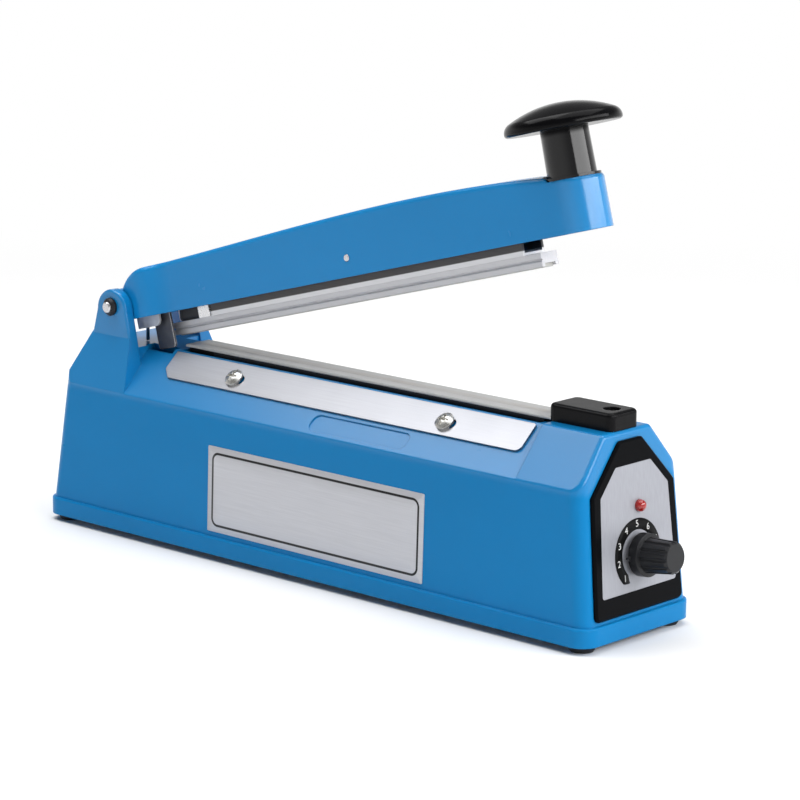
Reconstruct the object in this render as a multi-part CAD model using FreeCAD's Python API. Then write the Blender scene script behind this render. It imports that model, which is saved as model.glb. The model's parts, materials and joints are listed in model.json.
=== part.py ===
import FreeCAD, Part
import math
import os

from FreeCAD import Vector

# Hand-press impulse sealer with its arm open. Millimetres and degrees.
# The origin lies on the floor under the middle of the base, +X points to the
# timer panel and +Z up. The arm is modelled level and then swung open.

# Base housing
base_length = 318.0
base_width = 70.0
rim_height = 7.8
rim_corner_radius = 8.0
rim_step = 1.6
rim_edge_round = 0.8
housing_wall = 2.8
side_height = 54.2
shoulder_half_width = 31.7
roof_rise = 18.5
roof_half_width = 10.6
body_corner_radius = 6.0
body_edge_round = 2.2
roof_edge_round = 1.1
front_lean = 5.4
rear_lean = 8.2
rear_upper_lean = 26.6
front_block_length = 40.0
block_half_width = 15.0
block_lift = 1.4
emboss_length = 55.0
emboss_width = 8.6
emboss_depth = 0.6
emboss_radius = 3.6
emboss_from_channel = 97.0
emboss_below_roof = 17.4

# Hinge ears and pin
hinge_setback = 33.5
hinge_rise = 17.5
ear_gap = 38.0
ear_thickness = 4.6
ear_radius = 9.4
ear_centre_drop = 1.7
ear_foot_rise = 4.5
ear_front_reach = 12.0
ear_block_reach = 16.5
ear_edge_round = 1.2
ear_root_depth = 5.0
hinge_pin_radius = 2.5
pin_stand_out = 3.2
pin_chamfer = 0.5
retainer_radius = 4.0
retainer_height = 2.0
retainer_collar_radius = 3.2
running_clearance = 0.05

# Bottom plate, feet and base screws
foot_height = 3.0
foot_radius = 5.4
foot_taper = 0.7
foot_taper_height = 1.0
foot_inset = 8.3
foot_stem_radius = 2.0
foot_barb_radius = 2.9
foot_barb_height = 1.6
plate_recess = 0.6
bottom_plate_thickness = 1.2
plate_ledge_inset = 2.4
plate_corner_gap = 0.3
boss_inset_x = 20.0
boss_inset_y = 13.0
boss_radius = 4.2
boss_height = 22.0
boss_web = 2.0
base_screw_radius = 1.5
base_screw_length = 12.0
small_head_radius = 2.9
small_head_height = 1.9
cross_slot_share = 0.16
cross_reach_share = 0.6
screw_end_gap = 1.0

# Sealing strip: channel, rail, insulating tape, ribbon and cloth
channel_setback = 30.5
channel_front_gap = 6.0
channel_half_width = 9.4
channel_depth = 7.5
trough_wall = 2.2
rail_half_width = 7.0
rail_height = 9.4
rail_groove = 1.0
rail_rear_gap = 18.0
terminal_gap = 0.6
tape_thickness = 0.3
tape_half_width = 5.0
ribbon_half_width = 1.5
ribbon_thickness = 0.25
cloth_thickness = 0.35
cloth_skirt = 1.2
cloth_side_gap = 0.05
cloth_under_cover = 1.2
terminal_half_width = 5.5
terminal_screw_radius = 2.0
terminal_screw_length = 5.0
rear_terminal_round = 1.0

# Clamp plates
clamp_thickness = 1.0
clamp_from_roof_edge = 1.1
clamp_width = 14.4
clamp_end_gap = 0.4
clamp_rear_cut = 4.5
clamp_corner_radius = 3.0
clamp_top_radius = 1.0
clamp_cut_round = 0.5
clamp_screw_from_edge = 8.2
clamp_screw_rear = 42.5
clamp_screw_front = 43.0
clamp_slot_length = 11.0
clamp_slot_width = 4.8
clamp_screw_radius = 2.0
clamp_screw_length = 8.0
clamp_head_radius = 4.2
clamp_head_height = 2.6

# Front terminal cover
cover_length = 32.6
cover_width = 18.0
cover_height = 7.3
cover_wall = 1.8
cover_corner_radius = 3.0
cover_edge_round = 1.6
cover_overhang = 2.5
cover_screw_from_front = 7.0
cover_dimple_radius = 3.6
cover_dimple_depth = 3.4
front_terminal_length = 10.0
front_terminal_round = 0.5
cover_screw_bite = 6.0
ribbon_notch_clearance = 0.4

# Front panel, measured along the leaning front wall from the rim's top
bezel_thickness = 1.7
bezel_low = 1.5
bezel_corner = 51.0
bezel_high = 71.0
bezel_low_half = 27.6
bezel_corner_half = 25.9
bezel_high_half = 7.1
bezel_corner_radius = 2.5
bezel_bevel = 0.8
scale_low = 10.2
scale_corner = 50.3
scale_high = 61.1
scale_low_half = 23.3
scale_corner_half = 21.3
scale_high_half = 11.0
scale_corner_radius = 1.2
scale_thickness = 0.4
dial_height = 24.5
lamp_height = 43.8
lamp_offset = 2.3
lamp_radius = 2.5
lamp_dome = 3.2
timer_gap = 2.0
timer_length = 17.0
timer_skirt_radius = 8.8
timer_skirt_height = 4.0
timer_skirt_bevel = 0.4
timer_body_radius = 7.2
timer_face_radius = 6.1
timer_face_round = 1.0
timer_flutes = 12
timer_flute_radius = 0.9
timer_pointer_length = 1.6
timer_pointer_width = 2.4
timer_pointer_height = 1.4
timer_pointer_root = 0.4
timer_shaft_radius = 3.0
timer_shaft_length = 10.0
bush_radius = 3.5
bush_stand_out = 2.2
nut_width = 10.0
nut_height = 1.8
nut_clearance = 0.3
pot_radius = 8.2
pot_depth = 9.0
board_thickness = 1.6
board_half_width = 16.0
board_low = 13.0
board_high = 52.0
relay_depth = 15.0
relay_half_width = 9.5
relay_height = 12.0
relay_low = 36.0
relay_edge_round = 0.3

# Transformer
core_length = 66.0
core_depth = 36.0
core_height = 54.0
core_limb = 11.0
core_leg = 22.0
core_centre_from_hinge = 95.0
coil_gap = 0.4
coil_overhang = 9.0
coil_corner_radius = 5.0
strap_thickness = 1.2
strap_width = 20.0
strap_foot = 11.0
strap_screw_from_core = 6.5
strap_screw_bite = 1.8

# Micro switch and its striker
striker_from_middle = 9.5
striker_thickness = 1.2
striker_rear = 11.5
striker_front = 22.3
striker_reach = 23.0
striker_flange = 6.5
striker_corner_radius = 1.5
slot_clearance = 1.5
slot_side_clearance = 2.2
switch_length = 20.0
switch_thickness = 6.3
switch_height = 10.0
switch_hole_spacing = 9.5
switch_screw_radius = 1.2
switch_screw_length = 8.2
switch_head_radius = 2.3
switch_rib = 2.5
plunger_length = 4.0
plunger_width = 2.6
plunger_travel = 1.2
plunger_stand_out = 1.8
plunger_depth = 3.5
plunger_gap = 0.25
blade_length = 6.0
blade_width = 3.2
blade_thickness = 0.6

# Inlet gland in the rear wall
gland_height = 17.0
gland_bore_radius = 3.3
gland_neck_radius = 5.0
gland_flange_radius = 7.5
gland_flange_thickness = 2.0
gland_flange_bevel = 1.0
gland_seat_gap = 0.1
gland_tail_radius = 6.3
gland_tail_length = 2.4

# Arm
open_angle = 15.15
arm_drop = 7.3
arm_wall = 2.4
hub_wall = 1.5
hub_break_angle = 68.0
hub_clearance = 0.4
flare_start = 12.0
flare_end = 30.0
arm_half_width = 13.6
nose_radius = 11.6
knob_setback = 25.2
arm_shoulder_station = 8.6
arm_shoulder_height = 19.3
arm_shoulder_lean = 30.0
arm_rear_station = 18.0
arm_rear_height = 21.85
arm_middle_station = 100.0
arm_middle_height = 25.0
arm_crest_from_nose = 63.8
arm_crest_height = 26.55
arm_nose_height = 21.5
arm_edge_round = 2.2
pivot_boss_radius = 4.0
pivot_boss_gap = 0.5

# Press knob on the arm's nose, sizes along and across its own axis
knob_tilt = 0.6
knob_from_nose = 1.1
knob_seat_depth = 0.9
knob_seat_clearance = 0.5
collar_radius = 11.6
collar_height = 1.1
stem_foot_radius = 10.0
stem_radius = 9.7
stem_height = 19.8
cap_radius = 23.8
cap_edge_in = 1.2
cap_edge_rise = 1.4
cap_shoulder_in = 2.3
cap_shoulder_rise = 3.9
cap_height = 30.4
knob_screw_radius = 2.4
knob_screw_depth = 12.0
knob_screw_head_radius = 4.2
knob_screw_head_height = 2.8
knob_boss_radius = 5.2
knob_boss_drop = 8.0

# Hinge bracket and return spring inside the arm's rear end
bracket_half_width = 13.4
bracket_sheet = 1.2
bracket_front = 18.7
bracket_drop = 12.2
bracket_rear = 5.1
bracket_corner_radius = 3.0
bracket_rear_round = 4.6
bracket_notch_round = 0.5
bracket_tongue_rear = 4.0
bracket_web_rear = 8.0
bracket_screw_station = 14.0
bracket_boss_radius = 4.0
bracket_screw_radius = 1.8
bracket_screw_length = 9.0
spring_wire_radius = 0.8
spring_coil_radius = 4.0
spring_turns = 4
spring_rear_y = -5.0
spring_front_y = 8.0
spring_leg = 17.0
spring_seat_gap = 0.3

# Press bar
pivot_forward = 4.9
pivot_rise = 0.7
pivot_pin_radius = 1.5
pivot_pin_stand_out = 0.4
pivot_pin_round = 0.35
bar_drop = 19.25
bar_overhang = 12.5
bar_half_width = 5.0
bar_height = 4.4
bar_groove = 0.7
silicone_half_width = 3.2
silicone_height = 1.7
silicone_sunk = 1.2
silicone_round = 0.9
silicone_end_inset = 1.5
carrier_rear = 38.0
carrier_front_gap = 7.5
carrier_half_width = 6.6
carrier_sheet = 1.2
carrier_cheek = 9.5
carrier_ear_radius = 4.6
carrier_ear_spread = 13.8
clip_length = 7.0
clip_sheet = 0.8
bar_screw_radius = 1.4
bar_screw_length = 4.2
bar_screw_spacing = 80.0
bar_screw_end_gap = 0.2
seal_gap = 0.25

# Places that follow from the sizes
margin = 20.0
overcut = 1.0
touch = 0.01
rear_x = -base_length / 2
front_x = base_length / 2
rim_top = foot_height + rim_height
shoulder_z = rim_top + side_height
roof_z = shoulder_z + roof_rise
hinge_x = rear_x + hinge_setback
hinge_z = roof_z + hinge_rise
block_x = front_x - front_block_length
body_rear_x = rear_x + rim_step
body_front_x = front_x - rim_step
body_half_width = base_width / 2 - rim_step
side_rate = (body_half_width - shoulder_half_width) / side_height
front_rate = math.tan(math.radians(front_lean))
rear_rate = math.tan(math.radians(rear_lean))
rear_shoulder_x = body_rear_x + side_height * rear_rate
rear_upper_rate = math.tan(math.radians(rear_upper_lean))
slope_run = shoulder_half_width - roof_half_width
slope_rate = roof_rise / slope_run
slope_length = math.hypot(slope_run, roof_rise)
block_z = roof_z + block_lift
block_slope_rate = (block_z - shoulder_z) / (shoulder_half_width - block_half_width)
ear_inner = ear_gap / 2
ear_outer = ear_inner + ear_thickness
ear_foot_z = roof_z + ear_foot_rise
ear_slope_rate = (ear_foot_z - shoulder_z) / (shoulder_half_width - ear_outer)
ear_rear_foot_x = rear_shoulder_x + (ear_foot_z - shoulder_z) * rear_upper_rate
ear_block_x = hinge_x + ear_block_reach
plate_low = foot_height + plate_recess
plate_top = plate_low + bottom_plate_thickness
channel_rear_x = hinge_x + channel_setback
channel_front_x = block_x - channel_front_gap
channel_floor_z = roof_z - channel_depth
rail_rear_x = channel_rear_x + rail_rear_gap
rail_top_z = channel_floor_z + rail_height
ribbon_low_z = rail_top_z + tape_thickness
cloth_low_z = ribbon_low_z + ribbon_thickness
strip_top_z = cloth_low_z + cloth_thickness
cover_rear_x = block_x - cover_overhang
cloth_front_x = cover_rear_x + cloth_under_cover
nose_u = front_x - knob_setback - hinge_x
nose_end_u = nose_u + nose_radius
hub_half_width = ear_inner - hub_clearance
hub_radius = arm_drop
pivot_u = (channel_rear_x + channel_front_x) / 2 + pivot_forward - hinge_x
bar_low_w = pivot_rise - bar_drop
bar_rear_u = channel_setback - bar_overhang
bar_front_u = channel_front_x - hinge_x
carrier_low_w = bar_low_w + silicone_height + bar_height

# Closing: the arm swings until the bar, which rocks level, rests on the strip
pivot_distance = math.hypot(pivot_u, pivot_rise)
pivot_angle = math.degrees(math.atan2(pivot_rise, pivot_u))
closed_rise = strip_top_z + seal_gap + bar_drop - hinge_z
closed_pivot_angle = math.degrees(math.asin(closed_rise / pivot_distance))
close_angle = open_angle + pivot_angle - closed_pivot_angle
rock_angle = open_angle - close_angle
striker_middle = (striker_rear + striker_front) / 2
closed_tilt = math.radians(rock_angle)
striker_x = hinge_x + striker_middle * math.cos(closed_tilt) + striker_reach * math.sin(closed_tilt)
striker_low_z = hinge_z + striker_middle * math.sin(closed_tilt) - striker_reach * math.cos(closed_tilt)
plunger_top_z = striker_low_z - plunger_gap + plunger_travel
switch_top_z = plunger_top_z - plunger_stand_out
switch_near_y = -striker_from_middle - switch_thickness / 2
switch_far_y = -striker_from_middle + switch_thickness / 2


def side_view(x, z):
    return Vector(x, 0, z)


def end_view(y, z):
    return Vector(0, y, z)


def plan_view(x, y):
    return Vector(x, y, 0)


def arm_view(u, w):
    """A point of the level arm, measured from the hinge axis."""
    return Vector(hinge_x + u, 0, hinge_z + w)


def face(view, *steps):
    """A flat face whose outline runs through points; a pair (middle, end) is an arc."""
    edges = []
    here = steps[0]
    for step in steps[1:] + steps[:1]:
        if isinstance(step[0], tuple):
            middle, there = step
            edges.append(Part.Arc(view(*here), view(*middle), view(*there)).toShape())
        else:
            there = step
            if there != here:
                edges.append(Part.LineSegment(view(*here), view(*there)).toShape())
        here = there
    return Part.Face(Part.Wire(edges))


def rounded_face(view, *corners):
    """A flat face of corners (a, b, radius), each rounded by an arc where its radius isn't 0."""
    steps = []
    count = len(corners)
    for i in range(count):
        a, b, radius = corners[i]
        here = Vector(a, b, 0)
        before = Vector(corners[i - 1][0], corners[i - 1][1], 0) - here
        after = Vector(corners[(i + 1) % count][0], corners[(i + 1) % count][1], 0) - here
        if radius == 0:
            steps.append((a, b))
            continue
        half = before.getAngle(after) / 2
        before.normalize()
        after.normalize()
        start = here + before * (radius / math.tan(half))
        end = here + after * (radius / math.tan(half))
        bisector = before + after
        bisector.normalize()
        middle = here + bisector * (radius / math.sin(half) - radius)
        steps.append((start.x, start.y))
        steps.append(((middle.x, middle.y), (end.x, end.y)))
    return face(view, *steps)


def across(flat, half):
    """A side-view face carried from -half to half along Y."""
    flat.translate(Vector(0, -half, 0))
    return flat.extrude(Vector(0, 2 * half, 0))


def box(x0, x1, y0, y1, z0, z1):
    return Part.makeBox(x1 - x0, y1 - y0, z1 - z0, Vector(x0, y0, z0))


def rod(radius, start, end):
    return Part.makeCylinder(radius, (end - start).Length, start, end - start)


def turned(*steps):
    """A body turned about Z from an outline of (radius, height) steps."""
    return face(side_view, *steps).revolve(Vector(0, 0, 0), Vector(0, 0, 1), 360)


def crown(radius, low, high):
    """The arc of a domed end, centred on the turning axis, from (radius, low) to the top."""
    rise = high - low
    ball = (radius ** 2 + rise ** 2) / (2 * rise)
    half = radius / 2
    return ((half, high - ball + math.sqrt(ball ** 2 - half ** 2)), (0, high))


def rounded(shape, radius, wanted):
    """The shape with the edges whose middle passes the test rounded."""
    edges = [edge for edge in shape.Edges if wanted(edge.CenterOfMass, edge)]
    return shape.makeFillet(radius, edges)


def pointed(shape, place, direction):
    """A shape made along Z, turned to the direction and set on its place."""
    shape.Placement = FreeCAD.Placement(place, FreeCAD.Rotation(Vector(0, 0, 1), direction))
    return shape


def mirrored_pair(shape):
    return Part.Compound([shape, shape.mirror(Vector(0, 0, 0), Vector(0, 1, 0))])


def on_arm(shape):
    """A piece of the level arm swung up to the open pose."""
    shape.rotate(Vector(hinge_x, 0, hinge_z), Vector(0, 1, 0), -open_angle)
    return shape


def on_front(shape):
    """A piece made with X out of the front wall and Z up along it, set on the leaning wall."""
    shape.rotate(Vector(0, 0, 0), Vector(0, 1, 0), -front_lean)
    shape.translate(Vector(body_front_x, 0, rim_top))
    return shape


def on_rear(shape):
    """A piece made with X into the housing and Z up, set on the leaning rear wall."""
    shape.rotate(Vector(0, 0, 0), Vector(0, 1, 0), rear_lean)
    shape.translate(Vector(body_rear_x, 0, rim_top))
    return shape


def pan_screw(shank_radius, length, head_radius, head_height):
    """A pan-head screw standing on z = 0, with a cross recess in its head."""
    brim = head_height / 2
    screw = turned((0, -length), (shank_radius, -length), (shank_radius, 0), (head_radius, 0),
                   (head_radius, brim), crown(head_radius, brim, head_height))
    slot = head_radius * cross_slot_share
    reach = head_radius * cross_reach_share
    recess = box(-reach, reach, -slot, slot, brim, head_height)
    recess = recess.fuse(box(-slot, slot, -reach, reach, brim, head_height))
    return screw.cut(recess)


def slope_fall():
    """Direction straight down the near shoulder slope."""
    return Vector(0, -slope_run / slope_length, -roof_rise / slope_length)


def slope_normal():
    """Direction square out of the near shoulder slope."""
    return Vector(0, -roof_rise / slope_length, slope_run / slope_length)


def slope_place(x, down, lift):
    """A point on the near shoulder slope: distance down from the roof's edge and height off the slope."""
    return Vector(x, -roof_half_width, roof_z) + slope_fall() * down + slope_normal() * lift


def on_slope(shape, down):
    """A piece made in plan, with Y down the slope and -Z out of it, set on the near shoulder slope."""
    turn = FreeCAD.Rotation(Vector(1, 0, 0), slope_fall(), slope_normal() * -1, "XYZ")
    shape.Placement = FreeCAD.Placement(slope_place(0, down, 0), turn)
    return shape


def envelope(inset, low, high):
    """The leaning walls of the body as a block with rounded upright edges."""
    def corners(z):
        rise = z - rim_top
        rear = body_rear_x + rise * rear_rate + inset
        front = body_front_x - rise * front_rate - inset
        half = body_half_width - rise * side_rate - inset
        plan = [(rear, -half), (front, -half), (front, half), (rear, half)]
        return [Vector(x, y, z) for x, y in plan]

    bottom = corners(low)
    top = corners(high)
    loops = [bottom[::-1], top]
    for i in range(4):
        j = (i + 1) % 4
        loops.append([bottom[i], bottom[j], top[j], top[i]])
    faces = [Part.Face(Part.makePolygon(loop + loop[:1])) for loop in loops]
    block = Part.Solid(Part.Shell(faces))
    return rounded(block, body_corner_radius - inset,
                   lambda middle, edge: low < middle.z < high)


def ridge(rate, half, top, low, start, end):
    """A roof-shaped block along X: flat top of a half width, falling at a rate on both sides."""
    far = base_width
    eave = top - (far - half) * rate
    outline = [(-far, low), (-far, eave), (-half, top), (half, top), (far, eave), (far, low)]
    flat = face(end_view, *outline)
    flat.translate(Vector(start, 0, 0))
    return flat.extrude(Vector(end - start, 0, 0))


def rear_limit(inset):
    """The space in front of the rear wall's upper, more strongly leaning plane."""
    shift = rear_shoulder_x + inset / math.cos(math.radians(rear_upper_lean))
    low = -base_width
    high = hinge_z + margin
    outline = [(shift + (low - shoulder_z) * rear_upper_rate, low),
               (shift + (high - shoulder_z) * rear_upper_rate, high),
               (front_x + margin, high), (front_x + margin, low)]
    return across(face(side_view, *outline), base_width)


def ear():
    """The near hinge ear: a plate with a round top on the end of the sloped ear block."""
    low = shoulder_z - ear_root_depth
    centre_z = hinge_z - ear_centre_drop
    side = face(side_view, (ear_block_x, low), (ear_block_x, shoulder_z),
                (hinge_x + ear_front_reach, ear_foot_z), (hinge_x + ear_radius, centre_z),
                ((hinge_x, centre_z + ear_radius), (hinge_x - ear_radius, centre_z)),
                (ear_rear_foot_x, ear_foot_z), (rear_shoulder_x, shoulder_z), (rear_shoulder_x, low))
    end = face(end_view, (-ear_inner, low), (-shoulder_half_width, low), (-shoulder_half_width, shoulder_z),
               (-ear_outer, ear_foot_z), (-ear_outer, hinge_z + margin), (-ear_inner, hinge_z + margin))
    end.translate(Vector(rear_x, 0, 0))
    solid = across(side, base_width).common(end.extrude(Vector(base_length, 0, 0)))
    low_end = ear_foot_z + ear_edge_round
    return rounded(solid, ear_edge_round,
                   lambda middle, edge: middle.z > low_end and abs(middle.y) > ear_inner + touch)


def outer_body():
    """Housing outside: rear body, roof, front block, ears and rim, each with its own rounded edges."""
    high = hinge_z + margin
    walls = envelope(0, rim_top, high)
    roof = walls.common(ridge(slope_rate, roof_half_width, roof_z, rim_top, hinge_x, block_x + margin))
    roof = rounded(roof, roof_edge_round,
                   lambda middle, edge: hinge_x < middle.x < block_x and abs(middle.z - shoulder_z) < touch)
    block = walls.common(ridge(block_slope_rate, block_half_width, block_z, rim_top, block_x, front_x))
    block = rounded(block, body_edge_round,
                    lambda middle, edge: middle.z > shoulder_z - touch and middle.x > block_x + touch)
    saddle_half = shoulder_half_width - roof_rise / ear_slope_rate
    saddle_end = hinge_x + ear_front_reach
    rear = walls.common(ridge(ear_slope_rate, saddle_half, roof_z, rim_top, rear_x, saddle_end))
    rear = rear.common(rear_limit(0))
    near_ear = ear().common(walls)
    far_ear = near_ear.mirror(Vector(0, 0, 0), Vector(0, 1, 0))
    half_width = base_width / 2
    corners = [(rear_x, -half_width), (front_x, -half_width), (front_x, half_width), (rear_x, half_width)]
    rim_plan = rounded_face(plan_view, *[(x, y, rim_corner_radius) for x, y in corners])
    rim_plan.translate(Vector(0, 0, foot_height))
    rim = rim_plan.extrude(Vector(0, 0, rim_height))
    rim = rounded(rim, rim_edge_round, lambda middle, edge: abs(middle.z - rim_top) < touch)
    return roof.fuse([block, rear, near_ear, far_ear, rim]).removeSplitter()


def cavity():
    """Housing inside: the same forms set in by the wall, and the ledge for the bottom plate."""
    high = roof_z - housing_wall
    inner = envelope(housing_wall, plate_top, high)
    drop = housing_wall * slope_length / slope_run
    half = shoulder_half_width - (high + drop - shoulder_z) / slope_rate
    inner = inner.common(ridge(slope_rate, half, high, 0, rear_x, front_x))
    inner = inner.common(rear_limit(housing_wall))
    x_half = base_length / 2 - plate_ledge_inset
    y_half = base_width / 2 - plate_ledge_inset
    radius = rim_corner_radius - plate_ledge_inset
    ledge = rounded_face(plan_view, (-x_half, -y_half, radius), (x_half, -y_half, radius),
                         (x_half, y_half, radius), (-x_half, y_half, radius))
    ledge.translate(Vector(0, 0, foot_height))
    return inner.fuse(ledge.extrude(Vector(0, 0, plate_top - foot_height)))


def corner_places(inset_x, inset_y, z):
    """Four places set in from the corners of the base."""
    x = base_length / 2 - inset_x
    y = base_width / 2 - inset_y
    return [Vector(a * x, b * y, z) for a in (-1, 1) for b in (-1, 1)]


def base_bosses(inside):
    """Screw bosses at the corners, tied to the walls by webs and trimmed to the inside."""
    pieces = []
    for place in corner_places(boss_inset_x, boss_inset_y, plate_top):
        top = place + Vector(0, 0, boss_height)
        pieces.append(rod(boss_radius, place, top))
        out_x = math.copysign(base_length / 2, place.x)
        out_y = math.copysign(base_width / 2, place.y)
        pieces.append(box(min(place.x, out_x), max(place.x, out_x), place.y - boss_web / 2,
                          place.y + boss_web / 2, plate_top, top.z))
        pieces.append(box(place.x - boss_web / 2, place.x + boss_web / 2, min(place.y, out_y),
                          max(place.y, out_y), plate_top, top.z))
    return [piece.common(inside) for piece in pieces]


def clamp_screw_places():
    """Places of the near clamp plate's screws on the slope."""
    down = clamp_from_roof_edge + clamp_screw_from_edge
    return [slope_place(channel_rear_x + clamp_screw_rear, down, 0),
            slope_place(channel_front_x - clamp_screw_front, down, 0)]


def striker_slot():
    """The slot in the roof that the striker dips through, as long as the sweep of its tip."""
    sweep = math.hypot(striker_front, striker_reach)
    slot_front_x = hinge_x + math.sqrt(sweep ** 2 - hinge_rise ** 2) + slot_clearance / 2
    slot_rear_x = hinge_x + striker_rear - slot_clearance
    half = striker_thickness / 2 + slot_side_clearance
    return box(slot_rear_x, slot_front_x, -striker_from_middle - half, -striker_from_middle + half,
               switch_top_z, roof_z + overcut)


def emboss():
    """A shallow sunk pad in the near shoulder, below the clamp plate."""
    start = channel_rear_x + emboss_from_channel
    end = start + emboss_length
    flat = rounded_face(plan_view, (start, 0, emboss_radius), (end, 0, emboss_radius),
                        (end, emboss_width, emboss_radius), (start, emboss_width, emboss_radius))
    flat.translate(Vector(0, 0, -emboss_depth))
    return on_slope(flat.extrude(Vector(0, 0, 2 * emboss_depth)), emboss_below_roof)


def base_housing():
    """Hollow moulded housing, open at the bottom, with trough, ribs, bosses and holes."""
    outside = outer_body()
    inside = cavity()
    shell = outside.cut(inside)
    trough_half = channel_half_width + trough_wall
    trough = box(channel_rear_x - trough_wall, channel_front_x + trough_wall, -trough_half, trough_half,
                 channel_floor_z - trough_wall, roof_z)
    rib = box(striker_x - switch_length / 2, striker_x + switch_length / 2, switch_far_y,
              switch_far_y + switch_rib, switch_top_z - switch_height, roof_z)
    added = [trough.common(outside), rib.common(outside)] + base_bosses(inside)
    shell = shell.fuse(added)
    cuts = [box(channel_rear_x, channel_front_x, -channel_half_width, channel_half_width,
                channel_floor_z, roof_z + overcut), striker_slot(), emboss()]
    across_ears = Vector(0, ear_outer + overcut, 0)
    hinge = Vector(hinge_x, 0, hinge_z)
    cuts.append(rod(hinge_pin_radius + running_clearance, hinge - across_ears, hinge + across_ears))
    for place in corner_places(boss_inset_x, boss_inset_y, plate_top):
        cuts.append(rod(base_screw_radius + running_clearance, place,
                        place + Vector(0, 0, base_screw_length)))
    screw_reach = slope_normal() * (clamp_screw_length + screw_end_gap)
    for place in clamp_screw_places():
        hole = rod(clamp_screw_radius + running_clearance, place - screw_reach, place + screw_reach)
        cuts += [hole, hole.mirror(Vector(0, 0, 0), Vector(0, 1, 0))]
    for x in switch_hole_places():
        start = Vector(x, switch_near_y, switch_top_z - switch_height / 2)
        cuts.append(rod(switch_screw_radius + running_clearance, start,
                        start + Vector(0, switch_thickness + switch_rib + overcut, 0)))
    cuts.append(front_hole(bush_radius + running_clearance, 0, dial_height))
    cuts.append(front_hole(lamp_radius + running_clearance, lamp_offset, lamp_height))
    gland_hole = rod(gland_neck_radius + running_clearance, Vector(-overcut, 0, gland_height),
                     Vector(housing_wall + overcut, 0, gland_height))
    cuts.append(on_rear(gland_hole))
    cuts.append(cover_screw_hole())
    return shell.cut(cuts).removeSplitter()


def front_hole(radius, y, height):
    """A hole through the front wall, square to it."""
    return on_front(rod(radius, Vector(-2 * housing_wall, y, height), Vector(bezel_thickness, y, height)))


def switch_hole_places():
    return [striker_x - switch_hole_spacing / 2, striker_x + switch_hole_spacing / 2]


def bottom_plate():
    """Sheet bottom with holes for feet, corner screws and the transformer strap."""
    x_half = base_length / 2 - plate_ledge_inset - plate_corner_gap
    y_half = base_width / 2 - plate_ledge_inset - plate_corner_gap
    radius = rim_corner_radius - plate_ledge_inset
    flat = rounded_face(plan_view, (-x_half, -y_half, radius), (x_half, -y_half, radius),
                        (x_half, y_half, radius), (-x_half, y_half, radius))
    flat.translate(Vector(0, 0, plate_low))
    plate = flat.extrude(Vector(0, 0, bottom_plate_thickness))
    through = Vector(0, 0, bottom_plate_thickness)
    holes = []
    for place in corner_places(foot_inset, foot_inset, plate_low):
        holes.append(rod(foot_stem_radius + running_clearance, place, place + through))
    for place in corner_places(boss_inset_x, boss_inset_y, plate_low) + strap_screw_places(plate_low):
        holes.append(rod(base_screw_radius + running_clearance, place, place + through))
    return plate.cut(holes)


def rubber_feet():
    """Four push-in feet: a tapered disc, a stem through the plate and a barb above it."""
    barb_low = plate_top + plate_corner_gap
    feet = []
    for place in corner_places(foot_inset, foot_inset, 0):
        foot = turned((0, 0), (foot_radius - foot_taper, 0), (foot_radius, foot_taper_height),
                      (foot_radius, plate_low), (foot_stem_radius, plate_low), (foot_stem_radius, barb_low),
                      (foot_barb_radius, barb_low), (foot_stem_radius, barb_low + foot_barb_height),
                      (0, barb_low + foot_barb_height))
        foot.translate(place)
        feet.append(foot)
    return Part.Compound(feet)


def bottom_screws():
    screws = []
    for place in corner_places(boss_inset_x, boss_inset_y, plate_low):
        screw = pan_screw(base_screw_radius, base_screw_length, small_head_radius, small_head_height)
        screws.append(pointed(screw, place, Vector(0, 0, -1)))
    return Part.Compound(screws)


def hinge_pin():
    """Pin through both ears, with its ends chamfered."""
    reach = ear_outer + pin_stand_out
    pin = rod(hinge_pin_radius, Vector(hinge_x, -reach, hinge_z), Vector(hinge_x, reach, hinge_z))
    ends = [edge for edge in pin.Edges if abs(abs(edge.CenterOfMass.y) - reach) < touch]
    return pin.makeChamfer(pin_chamfer, ends)


def hinge_retainers():
    """Push-on retainers on both pin ends: a dished washer with a short collar."""
    cap = turned((hinge_pin_radius, 0), (retainer_radius, 0), (retainer_radius, retainer_height / 2),
                 (retainer_collar_radius, retainer_height), (hinge_pin_radius, retainer_height))
    return mirrored_pair(pointed(cap, Vector(hinge_x, -ear_outer, hinge_z), Vector(0, -1, 0)))


def sealing_rail():
    """Extruded rail with a groove along each side, standing on the channel's floor."""
    middle = channel_floor_z + rail_height / 2
    half = rail_half_width
    inner = rail_half_width - rail_groove
    flat = face(end_view, (-half, channel_floor_z), (half, channel_floor_z), (half, middle - rail_groove),
                (inner, middle), (half, middle + rail_groove), (half, rail_top_z), (-half, rail_top_z),
                (-half, middle + rail_groove), (-inner, middle), (-half, middle - rail_groove))
    flat.translate(Vector(rail_rear_x, 0, 0))
    return flat.extrude(Vector(channel_front_x - rail_rear_x, 0, 0))


def insulating_tape():
    return box(rail_rear_x, channel_front_x, -tape_half_width, tape_half_width, rail_top_z, ribbon_low_z)


def heating_ribbon():
    """Flat ribbon from the rear terminal over the rail to the front terminal."""
    end = block_x + terminal_gap + front_terminal_length
    return box(channel_rear_x + terminal_gap, end, -ribbon_half_width, ribbon_half_width,
               ribbon_low_z, cloth_low_z)


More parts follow.
